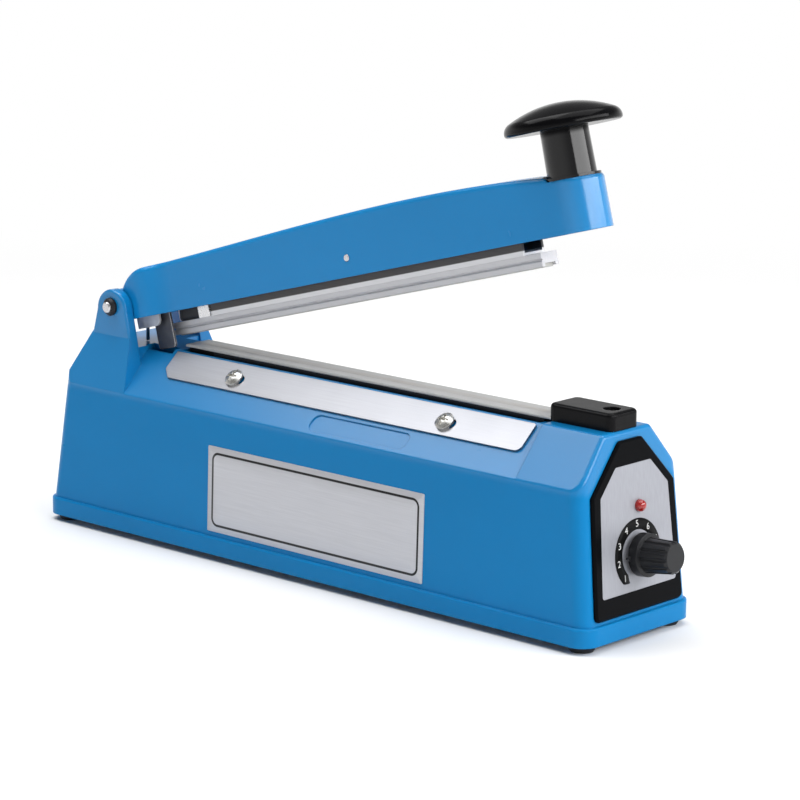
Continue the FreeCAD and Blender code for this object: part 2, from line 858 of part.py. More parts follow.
def sealing_cloth():
    """Coated cloth laid over the ribbon, with a skirt down each side of the rail."""
    inner = rail_half_width + cloth_side_gap
    outer = inner + cloth_thickness
    low = rail_top_z - cloth_skirt
    top = face(end_view, (-inner, low), (-outer, low), (-outer, strip_top_z), (outer, strip_top_z),
               (outer, low), (inner, low), (inner, cloth_low_z), (-inner, cloth_low_z))
    top.translate(Vector(channel_rear_x + terminal_gap, 0, 0))
    skirted = top.extrude(Vector(channel_front_x - channel_rear_x - 2 * terminal_gap, 0, 0))
    tongue = box(channel_front_x - 2 * terminal_gap, cloth_front_x, -rail_half_width, rail_half_width,
                 cloth_low_z, strip_top_z)
    return skirted.fuse(tongue).removeSplitter()


def rear_terminal():
    """Insulating block behind the rail that anchors the ribbon's rear end."""
    start = channel_rear_x + terminal_gap
    end = rail_rear_x - terminal_gap
    block = box(start, end, -terminal_half_width, terminal_half_width, channel_floor_z, ribbon_low_z)
    middle_z = (channel_floor_z + ribbon_low_z) / 2
    block = rounded(block, rear_terminal_round, lambda middle, edge: abs(middle.z - middle_z) < touch)
    hole = rod(terminal_screw_radius + running_clearance, Vector((start + end) / 2, 0, channel_floor_z),
               Vector((start + end) / 2, 0, channel_floor_z + terminal_screw_length))
    return block.cut(hole)


def cover_screw_x():
    return cover_rear_x + cover_length - cover_screw_from_front


def cover_screw_hole():
    place = Vector(cover_screw_x(), 0, block_z)
    return rod(base_screw_radius + running_clearance, place - Vector(0, 0, base_screw_length), place)


def front_terminal():
    """Brass block on the front block's top that clamps the ribbon's front end."""
    start = block_x + terminal_gap
    end = start + front_terminal_length
    block = box(start, end, -terminal_half_width, terminal_half_width, block_z, ribbon_low_z)
    middle_z = (block_z + ribbon_low_z) / 2
    return rounded(block, front_terminal_round, lambda middle, edge: abs(middle.z - middle_z) < touch)


def terminal_cover():
    """Moulded cover over the front terminal, hollow below, with a dimpled screw hole."""
    end = cover_rear_x + cover_length
    half = cover_width / 2
    top = block_z + cover_height
    corners = [(cover_rear_x, -half), (end, -half), (end, half), (cover_rear_x, half)]
    plan = rounded_face(plan_view, *[(x, y, cover_corner_radius) for x, y in corners])
    plan.translate(Vector(0, 0, block_z))
    block = plan.extrude(Vector(0, 0, cover_height))
    block = rounded(block, cover_edge_round, lambda middle, edge: abs(middle.z - top) < touch)
    post_radius = base_screw_radius + cover_wall
    hollow = box(cover_rear_x + cover_wall, end - cover_wall, -half + cover_wall, half - cover_wall,
                 block_z, top - cover_wall)
    seat = Vector(cover_screw_x(), 0, top - cover_dimple_depth)
    floor = Vector(cover_screw_x(), 0, block_z)
    well = rod(cover_dimple_radius + cover_wall / 2, seat - Vector(0, 0, cover_wall),
               seat + Vector(0, 0, margin))
    hollow = hollow.cut(well)
    hollow = hollow.cut(rod(post_radius, floor, seat))
    notch_half = rail_half_width + ribbon_notch_clearance
    notch = box(cover_rear_x, cover_rear_x + cover_wall, -notch_half, notch_half, block_z,
                strip_top_z + ribbon_notch_clearance)
    dimple = rod(cover_dimple_radius, seat, seat + Vector(0, 0, cover_dimple_depth))
    hole = rod(base_screw_radius + running_clearance, floor, seat)
    return block.cut([hollow, notch, dimple, hole])


def cover_screw():
    seat_z = block_z + cover_height - cover_dimple_depth
    length = seat_z - block_z + cover_screw_bite
    screw = pan_screw(base_screw_radius, length, small_head_radius, small_head_height)
    return pointed(screw, Vector(cover_screw_x(), 0, seat_z), Vector(0, 0, 1))


def clamp_plate():
    """The near clamp plate: a sheet on the shoulder slope with slotted holes and trimmed ends."""
    start = channel_rear_x + clamp_end_gap
    end = channel_front_x + clamp_end_gap
    flat = rounded_face(plan_view, (start, 0, 0), (end, 0, clamp_top_radius),
                        (end, clamp_width, clamp_corner_radius),
                        (start + clamp_rear_cut, clamp_width, clamp_cut_round),
                        (start, clamp_width - clamp_rear_cut, clamp_cut_round))
    plate = flat.extrude(Vector(0, 0, -clamp_thickness))
    straight = (clamp_slot_length - clamp_slot_width) / 2
    for x in (channel_rear_x + clamp_screw_rear, channel_front_x - clamp_screw_front):
        y = clamp_screw_from_edge
        half = clamp_slot_width / 2
        slot = face(plan_view, (x - straight, y - half), (x + straight, y - half),
                    ((x + straight + half, y), (x + straight, y + half)), (x - straight, y + half),
                    ((x - straight - half, y), (x - straight, y - half)))
        plate = plate.cut(slot.extrude(Vector(0, 0, -clamp_thickness)))
    return on_slope(plate, clamp_from_roof_edge)


def clamp_screws():
    screws = []
    for place in clamp_screw_places():
        screw = pan_screw(clamp_screw_radius, clamp_screw_length, clamp_head_radius, clamp_head_height)
        screws.append(pointed(screw, place + slope_normal() * clamp_thickness, slope_normal()))
    near = Part.Compound(screws)
    return mirrored_pair(near)


def panel_outline(low, corner, high, low_half, corner_half, high_half, radius):
    """Six-cornered panel face, widest at the bottom, standing on X = 0."""
    return rounded_face(end_view, (-low_half, low, radius), (low_half, low, radius),
                        (corner_half, corner, radius), (high_half, high, radius),
                        (-high_half, high, radius), (-corner_half, corner, radius))


def scale_outline():
    return panel_outline(scale_low, scale_corner, scale_high, scale_low_half, scale_corner_half,
                         scale_high_half, scale_corner_radius)


def front_bezel():
    """Black panel with a bevelled edge, a pocket for the scale plate and two holes."""
    flat = panel_outline(bezel_low, bezel_corner, bezel_high, bezel_low_half, bezel_corner_half,
                         bezel_high_half, bezel_corner_radius)
    panel = flat.extrude(Vector(bezel_thickness, 0, 0))
    edges = [edge for edge in panel.Edges if abs(edge.CenterOfMass.x - bezel_thickness) < touch]
    panel = panel.makeChamfer(bezel_bevel, edges)
    pocket = scale_outline()
    pocket.translate(Vector(bezel_thickness - scale_thickness, 0, 0))
    cuts = [pocket.extrude(Vector(scale_thickness, 0, 0))] + panel_holes()
    return on_front(panel.cut(cuts))


def panel_holes():
    """Holes for the timer's bush and for the lamp, through whatever lies on the front wall."""
    holes = []
    for radius, y, height in ((bush_radius, 0, dial_height), (lamp_radius, lamp_offset, lamp_height)):
        holes.append(rod(radius + running_clearance, Vector(0, y, height),
                         Vector(bezel_thickness, y, height)))
    return holes


def scale_plate():
    flat = scale_outline()
    flat.translate(Vector(bezel_thickness - scale_thickness, 0, 0))
    return on_front(flat.extrude(Vector(scale_thickness, 0, 0)).cut(panel_holes()))


def indicator_lamp():
    """Round lamp with a domed lens, reaching back to the timer board."""
    back = -housing_wall - pot_depth
    lens = bezel_thickness + lamp_dome
    side = bezel_thickness + lamp_dome / 3
    lamp = turned((0, back), (lamp_radius, back), (lamp_radius, side), crown(lamp_radius, side, lens))
    return on_front(pointed(lamp, Vector(0, lamp_offset, lamp_height), Vector(1, 0, 0)))


def potentiometer():
    """Round timer control with a bush through the panel, hollow for its shaft."""
    back = -housing_wall - pot_depth
    front = bezel_thickness + bush_stand_out
    bore = timer_shaft_radius + running_clearance
    body = turned((0, back), (pot_radius, back), (pot_radius, -housing_wall), (bush_radius, -housing_wall),
                  (bush_radius, front), (bore, front), (bore, -housing_wall), (0, -housing_wall))
    return on_front(pointed(body, Vector(0, 0, dial_height), Vector(1, 0, 0)))


def panel_nut():
    """Hexagon nut that clamps the timer's bush to the panel."""
    corner = nut_width / math.sqrt(3)
    points = []
    for i in range(6):
        turn = math.radians(60 * i)
        points.append((corner * math.cos(turn), dial_height + corner * math.sin(turn)))
    flat = face(end_view, *points)
    flat.translate(Vector(bezel_thickness, 0, 0))
    nut = flat.extrude(Vector(nut_height, 0, 0))
    hole = rod(bush_radius + running_clearance, Vector(bezel_thickness, 0, dial_height),
               Vector(bezel_thickness + nut_height, 0, dial_height))
    return on_front(nut.cut(hole))


def timer_shaft():
    """Plain shaft from the control's bush into the knob."""
    start = -housing_wall + running_clearance
    end = bezel_thickness + timer_gap + timer_shaft_length
    return on_front(rod(timer_shaft_radius, Vector(start, 0, dial_height), Vector(end, 0, dial_height)))


def timer_knob():
    """Fluted, slightly tapered knob with a skirt and a pointer tab, hollow round the nut."""
    recess = nut_width / math.sqrt(3) + nut_clearance
    depth = nut_height + nut_clearance
    bore = timer_shaft_radius + running_clearance / 2
    body_low = timer_skirt_height + timer_skirt_bevel
    knob = turned((bore, depth), (recess, depth), (recess, 0), (timer_skirt_radius, 0),
                  (timer_skirt_radius, timer_skirt_height), (timer_body_radius, body_low),
                  (timer_face_radius + timer_face_round / 2, timer_length - timer_face_round),
                  (timer_face_radius - timer_face_round / 2, timer_length), (0, timer_length),
                  (0, timer_shaft_length), (bore, timer_shaft_length))
    flutes = []
    for i in range(timer_flutes):
        turn = 2 * math.pi * i / timer_flutes
        low = Vector(math.cos(turn), math.sin(turn), 0) * (timer_body_radius + timer_flute_radius / 2)
        high = Vector(math.cos(turn), math.sin(turn), 0) * (timer_face_radius + timer_flute_radius / 2)
        low.z = body_low
        high.z = timer_length + overcut
        flutes.append(rod(timer_flute_radius, low, high))
    knob = knob.cut(flutes)
    reach = timer_skirt_radius + timer_pointer_length
    root = timer_skirt_radius - timer_pointer_root
    tab = face(plan_view, (0, -reach), (timer_pointer_width / 2, -root), (-timer_pointer_width / 2, -root))
    knob = knob.fuse(tab.extrude(Vector(0, 0, timer_pointer_height)))
    start = bezel_thickness + timer_gap
    return on_front(pointed(knob, Vector(start, 0, dial_height), Vector(1, 0, 0)))


def timer_board():
    """Circuit board seated on the back of the timer control."""
    back = -housing_wall - pot_depth - board_thickness
    board = box(back, back + board_thickness, -board_half_width, board_half_width, board_low, board_high)
    return on_front(board)


def timer_relay():
    back = -housing_wall - pot_depth - board_thickness
    case = box(back - relay_depth, back, -relay_half_width, relay_half_width,
               relay_low, relay_low + relay_height)
    return on_front(rounded(case, relay_edge_round, lambda middle, edge: middle.x < back - touch))


def core_x():
    return hinge_x + core_centre_from_hinge


def transformer_core():
    """Laminated shell core with a winding window each side of its centre leg."""
    x = core_x()
    block = box(x - core_length / 2, x + core_length / 2, -core_depth / 2, core_depth / 2,
                plate_top, plate_top + core_height)
    windows = []
    for side in (-1, 1):
        near = x + side * core_leg / 2
        far = x + side * (core_length / 2 - core_limb)
        windows.append(box(min(near, far), max(near, far), -core_depth, core_depth,
                           plate_top + core_limb, plate_top + core_height - core_limb))
    return block.cut(windows)


def transformer_coil():
    """Winding on its bobbin round the centre leg, filling both windows."""
    x = core_x()
    half_x = core_length / 2 - core_limb - coil_gap
    half_y = core_depth / 2 + coil_overhang
    low = plate_top + core_limb + coil_gap
    high = plate_top + core_height - core_limb - coil_gap
    corners = [(x - half_x, -half_y), (x + half_x, -half_y), (x + half_x, half_y), (x - half_x, half_y)]
    flat = rounded_face(plan_view, *[(a, b, coil_corner_radius) for a, b in corners])
    flat.translate(Vector(0, 0, low))
    coil = flat.extrude(Vector(0, 0, high - low))
    leg_x = core_leg / 2 + coil_gap / 2
    leg_y = core_depth / 2 + coil_gap / 2
    return coil.cut(box(x - leg_x, x + leg_x, -leg_y, leg_y, low, high))


def strap_screw_places(z):
    reach = core_length / 2 + strap_screw_from_core
    return [Vector(core_x() - reach, 0, z), Vector(core_x() + reach, 0, z)]


def transformer_strap():
    """Steel strap over the core with a foot at each end on the bottom plate."""
    x = core_x()
    inner = core_length / 2
    outer = inner + strap_thickness
    foot = inner + strap_foot
    top = plate_top + core_height
    floor = plate_top + strap_thickness
    flat = face(side_view, (x - foot, plate_top), (x - inner, plate_top), (x - inner, top), (x + inner, top),
                (x + inner, plate_top), (x + foot, plate_top), (x + foot, floor), (x + outer, floor),
                (x + outer, top + strap_thickness), (x - outer, top + strap_thickness), (x - outer, floor),
                (x - foot, floor))
    strap = across(flat, strap_width / 2)
    holes = []
    for place in strap_screw_places(plate_top):
        holes.append(rod(base_screw_radius + running_clearance, place, place + Vector(0, 0, strap_thickness)))
    return strap.cut(holes)


def strap_screws():
    screws = []
    length = bottom_plate_thickness + strap_thickness + strap_screw_bite
    for place in strap_screw_places(plate_low):
        screw = pan_screw(base_screw_radius, length, small_head_radius, small_head_height)
        screws.append(pointed(screw, place, Vector(0, 0, -1)))
    return Part.Compound(screws)


def micro_switch():
    """Switch case with two fixing holes, a well for the plunger and three blades below."""
    low = switch_top_z - switch_height
    start = striker_x - switch_length / 2
    case = box(start, start + switch_length, switch_near_y, switch_far_y, low, switch_top_z)
    middle_z = switch_top_z - switch_height / 2
    for x in switch_hole_places():
        case = case.cut(rod(switch_screw_radius + running_clearance, Vector(x, switch_near_y, middle_z),
                            Vector(x, switch_far_y, middle_z)))
    half_x = plunger_length / 2 + running_clearance
    half_y = plunger_width / 2 + running_clearance
    well = box(striker_x - half_x, striker_x + half_x, -striker_from_middle - half_y,
               -striker_from_middle + half_y, switch_top_z - plunger_depth, switch_top_z)
    blades = []
    for i in (-1, 0, 1):
        x = striker_x + i * switch_length / 3
        near = -striker_from_middle - blade_thickness / 2
        blades.append(box(x - blade_width / 2, x + blade_width / 2, near, near + blade_thickness,
                          low - blade_length, low))
    return case.cut(well).fuse(blades)


def switch_plunger():
    """Rounded plunger standing out of the switch, under the striker's tip."""
    low = switch_top_z - plunger_depth + plunger_travel + plunger_gap
    pin = box(striker_x - plunger_length / 2, striker_x + plunger_length / 2,
              -striker_from_middle - plunger_width / 2, -striker_from_middle + plunger_width / 2,
              low, plunger_top_z)
    return rounded(pin, plunger_width / 4, lambda middle, edge: abs(middle.z - plunger_top_z) < touch
                   and abs(middle.x - striker_x) > touch)


def switch_screws():
    screws = []
    for x in switch_hole_places():
        screw = pan_screw(switch_screw_radius, switch_screw_length, switch_head_radius, small_head_height)
        place = Vector(x, switch_near_y, switch_top_z - switch_height / 2)
        screws.append(pointed(screw, place, Vector(0, -1, 0)))
    return Part.Compound(screws)


def inlet_gland():
    """Rubber gland in the rear wall: outer flange, neck, inner flange and an open bore."""
    back = -gland_flange_thickness
    seat = housing_wall + gland_seat_gap
    end = housing_wall + gland_tail_length
    gland = turned((gland_bore_radius, back), (gland_flange_radius - gland_flange_bevel, back),
                   (gland_flange_radius, back + gland_flange_bevel), (gland_flange_radius, 0),
                   (gland_neck_radius, 0), (gland_neck_radius, seat), (gland_tail_radius, seat),
                   (gland_neck_radius, end), (gland_bore_radius, end))
    return on_rear(pointed(gland, Vector(0, 0, gland_height), Vector(1, 0, 0)))


def arm_side(inset, hub_inset, low):
    """Side view of the arm: round hub, arched top and straight bottom, set in by a wall."""
    radius = hub_radius - hub_inset
    stations = [(arm_rear_station, arm_rear_height), (arm_middle_station, arm_middle_height),
                (nose_u - arm_crest_from_nose, arm_crest_height), (nose_end_u, arm_nose_height)]
    points = [arm_view(u, height - arm_drop - inset) for u, height in stations]
    turn = math.radians(hub_break_angle)
    neck = arm_view(radius * math.cos(turn), radius * math.sin(turn))
    lean = math.radians(arm_shoulder_lean)
    shoulder = arm_view(arm_shoulder_station + inset * math.sin(lean),
                        arm_shoulder_height - arm_drop - inset * math.cos(lean))
    arch = Part.BSplineCurve()
    arch.interpolate(points)
    edges = [Part.Arc(arm_view(0, -radius), arm_view(-radius, 0), neck).toShape(),
             Part.Arc(neck, shoulder, points[0]).toShape(), arch.toShape(),
             Part.LineSegment(points[-1], arm_view(nose_end_u, low)).toShape(),
             Part.LineSegment(arm_view(nose_end_u, low), arm_view(0, low)).toShape()]
    if low < -radius:
        edges.append(Part.LineSegment(arm_view(0, low), arm_view(0, -radius)).toShape())
    return across(Part.Face(Part.Wire(edges)), base_width)


def arm_plan(inset):
    """Plan of the arm: broad hub, S-shaped flare, slow taper and half-round nose."""
    hub = hub_half_width - inset
    half = arm_half_width - inset
    tip = nose_radius - inset
    bend = (flare_start + flare_end) / 2
    mean = (hub + half) / 2
    length = flare_end - flare_start
    fall = hub - half
    radius = (length ** 2 + fall ** 2) / (4 * fall)
    turn = math.asin(length / (2 * radius)) / 2
    shift = radius * math.sin(turn)
    dip = radius * (1 - math.cos(turn))
    rear = -hub_radius
    steps = [(rear, -hub), (flare_start, -hub), ((flare_start + shift, -hub + dip), (bend, -mean)),
             ((flare_end - shift, -half - dip), (flare_end, -half)), (nose_u, -tip),
             ((nose_u + tip, 0), (nose_u, tip)), (flare_end, half),
             ((flare_end - shift, half + dip), (bend, mean)),
             ((flare_start + shift, hub - dip), (flare_start, hub)), (rear, hub)]
    flat = face(plan_view, *steps)
    flat.translate(Vector(hinge_x, 0, hinge_z - base_width))
    return flat.extrude(Vector(0, 0, 2 * base_width))


def knob_axis():
    """Direction of the press knob on the level arm."""
    tilt = math.radians(knob_tilt)
    return Vector(math.sin(tilt), 0, math.cos(tilt))


def knob_seat():
    """Middle of the flat seat on the arm's nose."""
    slope = (arm_crest_height - arm_nose_height) / (arm_crest_from_nose + nose_radius)
    top = arm_nose_height + (nose_radius + knob_from_nose) * slope - arm_drop
    return arm_view(nose_u - knob_from_nose, top - knob_seat_depth)


def arm_shell():
    """Hollow arm, open below, with hub holes, pivot bosses, screw bosses and a flat knob seat."""
    outside = arm_side(0, 0, -arm_drop).common(arm_plan(0))
    hub_top = hinge_z + hub_radius
    outside = rounded(outside, arm_edge_round,
                      lambda middle, edge: middle.z > hub_top and abs(middle.y) > arm_edge_round)
    seat = knob_seat()
    axis = knob_axis()
    outside = outside.cut(rod(nose_radius + knob_seat_clearance, seat, seat + axis * margin))
    inside = arm_side(arm_wall, hub_wall, -arm_drop - margin).common(arm_plan(arm_wall))
    shell = outside.cut(inside)
    boss_inner = carrier_half_width + pivot_boss_gap
    pivot = arm_view(pivot_u, pivot_rise)
    bosses = []
    for side in (-1, 1):
        bosses.append(rod(pivot_boss_radius, pivot + Vector(0, side * boss_inner, 0),
                          pivot + Vector(0, side * arm_half_width, 0)))
    bosses.append(rod(knob_boss_radius, seat - axis * (knob_boss_drop + arm_wall), seat))
    web_top = spring_web_w() + bracket_sheet
    anchor = arm_view(bracket_screw_station, web_top)
    bosses.append(rod(bracket_boss_radius, anchor, anchor + Vector(0, 0, arm_rear_height)))
    shell = shell.fuse([boss.common(outside) for boss in bosses])
    hinge = arm_view(0, 0)
    reach = Vector(0, base_width, 0)
    screw_end = anchor + Vector(0, 0, bracket_screw_length)
    holes = [rod(hinge_pin_radius + running_clearance, hinge - reach, hinge + reach),
             rod(pivot_pin_radius + running_clearance, pivot - reach, pivot + reach),
             rod(knob_screw_radius + running_clearance, seat - axis * margin, seat),
             rod(bracket_screw_radius + running_clearance, anchor, screw_end)]
    return on_arm(shell.cut(holes))


def press_knob():
    """Turned knob: collar, straight stem and a broad cap with a blunt rim, a round shoulder and a crown."""
    hole = knob_screw_radius + running_clearance
    rim = stem_height + cap_edge_rise
    brow = rim + cap_shoulder_rise
    brow_radius = cap_radius - cap_shoulder_in
    bend = (cap_shoulder_in ** 2 + cap_shoulder_rise ** 2) / (2 * cap_shoulder_in)
    turn = math.atan2(cap_shoulder_in, cap_shoulder_rise)
    shoulder = (cap_radius - bend * (1 - math.cos(turn)), rim + bend * math.sin(turn))
    slant = 1 - math.sqrt(0.5)
    edge = (cap_radius - cap_edge_in * slant, rim - cap_edge_rise * math.sqrt(0.5))
    knob = turned((hole, 0), (collar_radius, 0), (collar_radius, collar_height),
                  (stem_foot_radius, collar_height), (stem_radius, stem_height),
                  (cap_radius - cap_edge_in, stem_height), (edge, (cap_radius, rim)),
                  (shoulder, (brow_radius, brow)), crown(brow_radius, brow, cap_height),
                  (0, knob_screw_depth), (hole, knob_screw_depth))
    return on_arm(pointed(knob, knob_seat(), knob_axis()))


def knob_screw():
    """Screw from inside the arm up into the knob's stem."""
    head = knob_seat() - knob_axis() * (knob_boss_drop + arm_wall)
    length = knob_boss_drop + arm_wall + knob_screw_depth - screw_end_gap
    screw = pan_screw(knob_screw_radius, length, knob_screw_head_radius, knob_screw_head_height)
    return on_arm(pointed(screw, head, knob_axis() * -1))


def spring_web_w():
    """Underside of the bracket's web, just above the spring's arm leg."""
    return -spring_coil_radius + spring_wire_radius + spring_seat_gap


def hinge_bracket():
    """Steel bracket on the hinge pin: two cheeks joined by a web that the spring pushes up."""
    low = -bracket_drop
    cheek = rounded_face(arm_view, (-bracket_rear, -bracket_rear, bracket_rear_round),
                         (bracket_tongue_rear, -bracket_rear, 0),
                         (bracket_tongue_rear, low, bracket_notch_round),
                         (bracket_front, low, bracket_corner_radius),
                         (bracket_front, bracket_rear, bracket_corner_radius),
                         (-bracket_rear, bracket_rear, bracket_rear_round))
    plate = across(cheek, bracket_half_width)
    inner = bracket_half_width - bracket_sheet
    web_low = hinge_z + spring_web_w()
    web = box(hinge_x + bracket_web_rear, hinge_x + bracket_front, -inner, inner,
              web_low, web_low + bracket_sheet)
    gap = box(hinge_x - margin, hinge_x + 2 * margin, -inner, inner, hinge_z - margin, hinge_z + margin)
    bracket = plate.cut(gap).fuse(web)
    hinge = arm_view(0, 0)
    reach = Vector(0, bracket_half_width, 0)
    anchor = arm_view(bracket_screw_station, spring_web_w())
    holes = [rod(hinge_pin_radius + running_clearance, hinge - reach, hinge + reach),
             rod(bracket_screw_radius + running_clearance, anchor, anchor + Vector(0, 0, bracket_sheet))]
    return on_arm(bracket.cut(holes))


def bracket_screw():
    length = bracket_sheet + bracket_screw_length - screw_end_gap
    screw = pan_screw(bracket_screw_radius, length, small_head_radius, small_head_height)
    return on_arm(pointed(screw, arm_view(bracket_screw_station, spring_web_w()), Vector(0, 0, -1)))


def switch_striker():
    """Angle of sheet under the bracket's web whose leg hangs down to press the switch."""
    top = spring_web_w()
    low = -striker_reach
    near = -striker_from_middle - striker_thickness / 2
    leg = rounded_face(arm_view, (striker_rear, low, striker_corner_radius),
                       (striker_front, low, striker_corner_radius), (striker_front, top, 0),
                       (striker_rear, top, 0))
    leg.translate(Vector(0, near, 0))
    leg = leg.extrude(Vector(0, striker_thickness, 0))
    flange = box(hinge_x + striker_rear, hinge_x + bracket_front, near, near + striker_flange,
                 hinge_z + top - striker_thickness, hinge_z + top)
    return on_arm(leg.fuse(flange).removeSplitter())


def biarc(p, t, q, s):
    """Two arcs that leave p along t and reach q along s, meeting smoothly halfway."""
    chord = q - p
    total = t + s
    a = 2 * (t.dot(s) - 1)
    b = -2 * chord.dot(total)
    c = chord.dot(chord)
    reach = (-b - math.sqrt(b * b - 4 * a * c)) / (2 * a)
    first = p + t * reach
    second = q - s * reach
    joint = (first + second) * 0.5
    return [bent(p, first, joint), bent(joint, second, q)]


def bent(start, corner, end):
    """The arc from start to end whose tangents meet in the corner."""
    middle = (start + end) * 0.5
    rise = corner - middle
    half = (end - start).Length / 2
    turn = math.atan2(rise.Length, half)
    rise.normalize()
    return Part.Arc(start, middle + rise * (half * math.tan(turn / 2)), end).toShape()


def return_spring():
    """Torsion spring round the hinge pin: a leg on the saddle, its turns, and a leg under the web."""
    hinge = Vector(hinge_x, 0, hinge_z)
    whole = 360 * spring_turns + 270 + open_angle
    steps = 2 * (spring_turns + 1)
    advance = (spring_front_y - spring_rear_y) / math.radians(whole)

    def place(turn):
        return hinge + Vector(spring_coil_radius * math.cos(turn), spring_rear_y + advance * turn,
                              spring_coil_radius * math.sin(turn))

    def heading(turn):
        way = Vector(-spring_coil_radius * math.sin(turn), advance, spring_coil_radius * math.cos(turn))
        return way.normalize()

    turns = [math.radians(whole) * i / steps for i in range(steps + 1)]
    ways = [heading(turn) for turn in turns]
    ways[0] = Vector(0, 0, 1)
    tilt = math.radians(open_angle)
    ways[-1] = Vector(math.cos(tilt), 0, math.sin(tilt))
    foot = Vector(hinge_x + spring_coil_radius, spring_rear_y, roof_z + spring_seat_gap)
    tip = place(turns[-1]) + ways[-1] * spring_leg
    edges = [Part.LineSegment(foot, place(0)).toShape()]
    for i in range(steps):
        edges += biarc(place(turns[i]), ways[i], place(turns[i + 1]), ways[i + 1])
    edges.append(Part.LineSegment(place(turns[-1]), tip).toShape())
    path = Part.Wire(edges)
    section = Part.Wire([Part.Circle(foot, Vector(0, 0, 1), spring_wire_radius).toShape()])
    print("spring: least gap to itself %.2f mm" % least_gap(edges))
    return path.makePipeShell([section], True, False)


def least_gap(edges):
    """Least clear distance between stretches of the wire more than half a turn apart."""
    points = []
    for edge in edges:
        points += edge.discretize(Distance=spring_wire_radius / 2)[:-1]
    apart = int(math.pi * spring_coil_radius / (spring_wire_radius / 2))
    least = base_length
    for i in range(len(points) - apart):
        for other in points[i + apart:]:
            least = min(least, (other - points[i]).Length)
    return least - 2 * spring_wire_radius


def press_bar():
    """Extruded aluminium bar with a groove along each side and a bed for the silicone below."""
    low = bar_low_w + silicone_height - silicone_sunk
    high = bar_low_w + silicone_height + bar_height
    middle = (low + high) / 2
    half = bar_half_width
    inner = bar_half_width - bar_groove
    bed = silicone_half_width + running_clearance
    floor = bar_low_w + silicone_height
    flat = face(end_view, (-half, low), (-bed, low), (-bed, floor), (bed, floor), (bed, low), (half, low),
                (half, middle - bar_groove), (inner, middle), (half, middle + bar_groove), (half, high),
                (-half, high), (-half, middle + bar_groove), (-inner, middle), (-half, middle - bar_groove))
    flat.translate(Vector(hinge_x + bar_rear_u, 0, hinge_z))
    bar = flat.extrude(Vector(bar_front_u - bar_rear_u, 0, 0))
    holes = []
    for place in bar_screw_places():
        depth = Vector(0, 0, bar_screw_length - carrier_sheet)
        holes.append(rod(bar_screw_radius + running_clearance, place - depth, place))
    return on_arm(bar.cut(holes))


def silicone_strip():
    """Silicone strip under the press bar, bedded in it, with its lower edges rounded."""
    half = silicone_half_width
    low = bar_low_w
    high = bar_low_w + silicone_height
    flat = rounded_face(end_view, (-half, low, silicone_round), (half, low, silicone_round),
                        (half, high, 0), (-half, high, 0))
    flat.translate(Vector(hinge_x + bar_rear_u + silicone_end_inset, 0, hinge_z))
    return on_arm(flat.extrude(Vector(bar_front_u - bar_rear_u - 2 * silicone_end_inset, 0, 0)))


def bar_screw_places():
    return [arm_view(pivot_u + side * bar_screw_spacing, carrier_low_w) for side in (-1, 1)]


def bar_carrier():
    """Sheet channel on the bar, with an ear round the pivot pin in each cheek."""
    top = carrier_low_w + carrier_cheek
    start = carrier_rear
    end = bar_front_u - carrier_front_gap
    lift = pivot_rise
    ear = carrier_ear_radius
    spread = carrier_ear_spread
    side = face(arm_view, (start, carrier_low_w), (end, carrier_low_w), (end, top), (pivot_u + spread, top),
                (pivot_u + ear, lift), ((pivot_u, lift + ear), (pivot_u - ear, lift)),
                (pivot_u - spread, top), (start, top))
    block = across(side, carrier_half_width)
    inner = carrier_half_width - carrier_sheet
    floor = hinge_z + carrier_low_w + carrier_sheet
    hollow = box(hinge_x, front_x + margin, -inner, inner, floor, hinge_z + margin)
    pivot = arm_view(pivot_u, pivot_rise)
    reach = Vector(0, base_width, 0)
    cuts = [hollow, rod(pivot_pin_radius + running_clearance, pivot - reach, pivot + reach)]
    for place in bar_screw_places():
        cuts.append(rod(bar_screw_radius + running_clearance, place, place + Vector(0, 0, carrier_sheet)))
    return on_arm(block.cut(cuts))


def carrier_clip():
    """Bright sheet clip folded round the carrier's rear end."""
    start = hinge_x + carrier_rear
    low = hinge_z + carrier_low_w
    top = low + carrier_cheek
    outer = carrier_half_width + clip_sheet
    block = box(start, start + clip_length, -outer, outer, low, top + clip_sheet)
    hollow = box(start, start + clip_length, -carrier_half_width, carrier_half_width, low, top)
    return on_arm(block.cut(hollow))


def bar_screws():
    screws = []
    length = bar_screw_length - bar_screw_end_gap
    for place in bar_screw_places():
        screw = pan_screw(bar_screw_radius, length, small_head_radius, small_head_height)
        screws.append(pointed(screw, place + Vector(0, 0, carrier_sheet), Vector(0, 0, 1)))
    return on_arm(Part.Compound(screws))


def bar_pivot_pin():
    """Cross pin through the arm that the press bar rocks on."""
    pivot = arm_view(pivot_u, pivot_rise)
    share = (pivot_u - flare_end) / (nose_u - flare_end)
    wall_y = arm_half_width + share * (nose_radius - arm_half_width)
    reach = Vector(0, wall_y + pivot_pin_stand_out, 0)
    pin = rod(pivot_pin_radius, pivot - reach, pivot + reach)
    return on_arm(rounded(pin, pivot_pin_round, lambda middle, edge: abs(middle.y) > wall_y))


def far_side(shape):
    return shape.mirror(Vector(0, 0, 0), Vector(0, 1, 0))


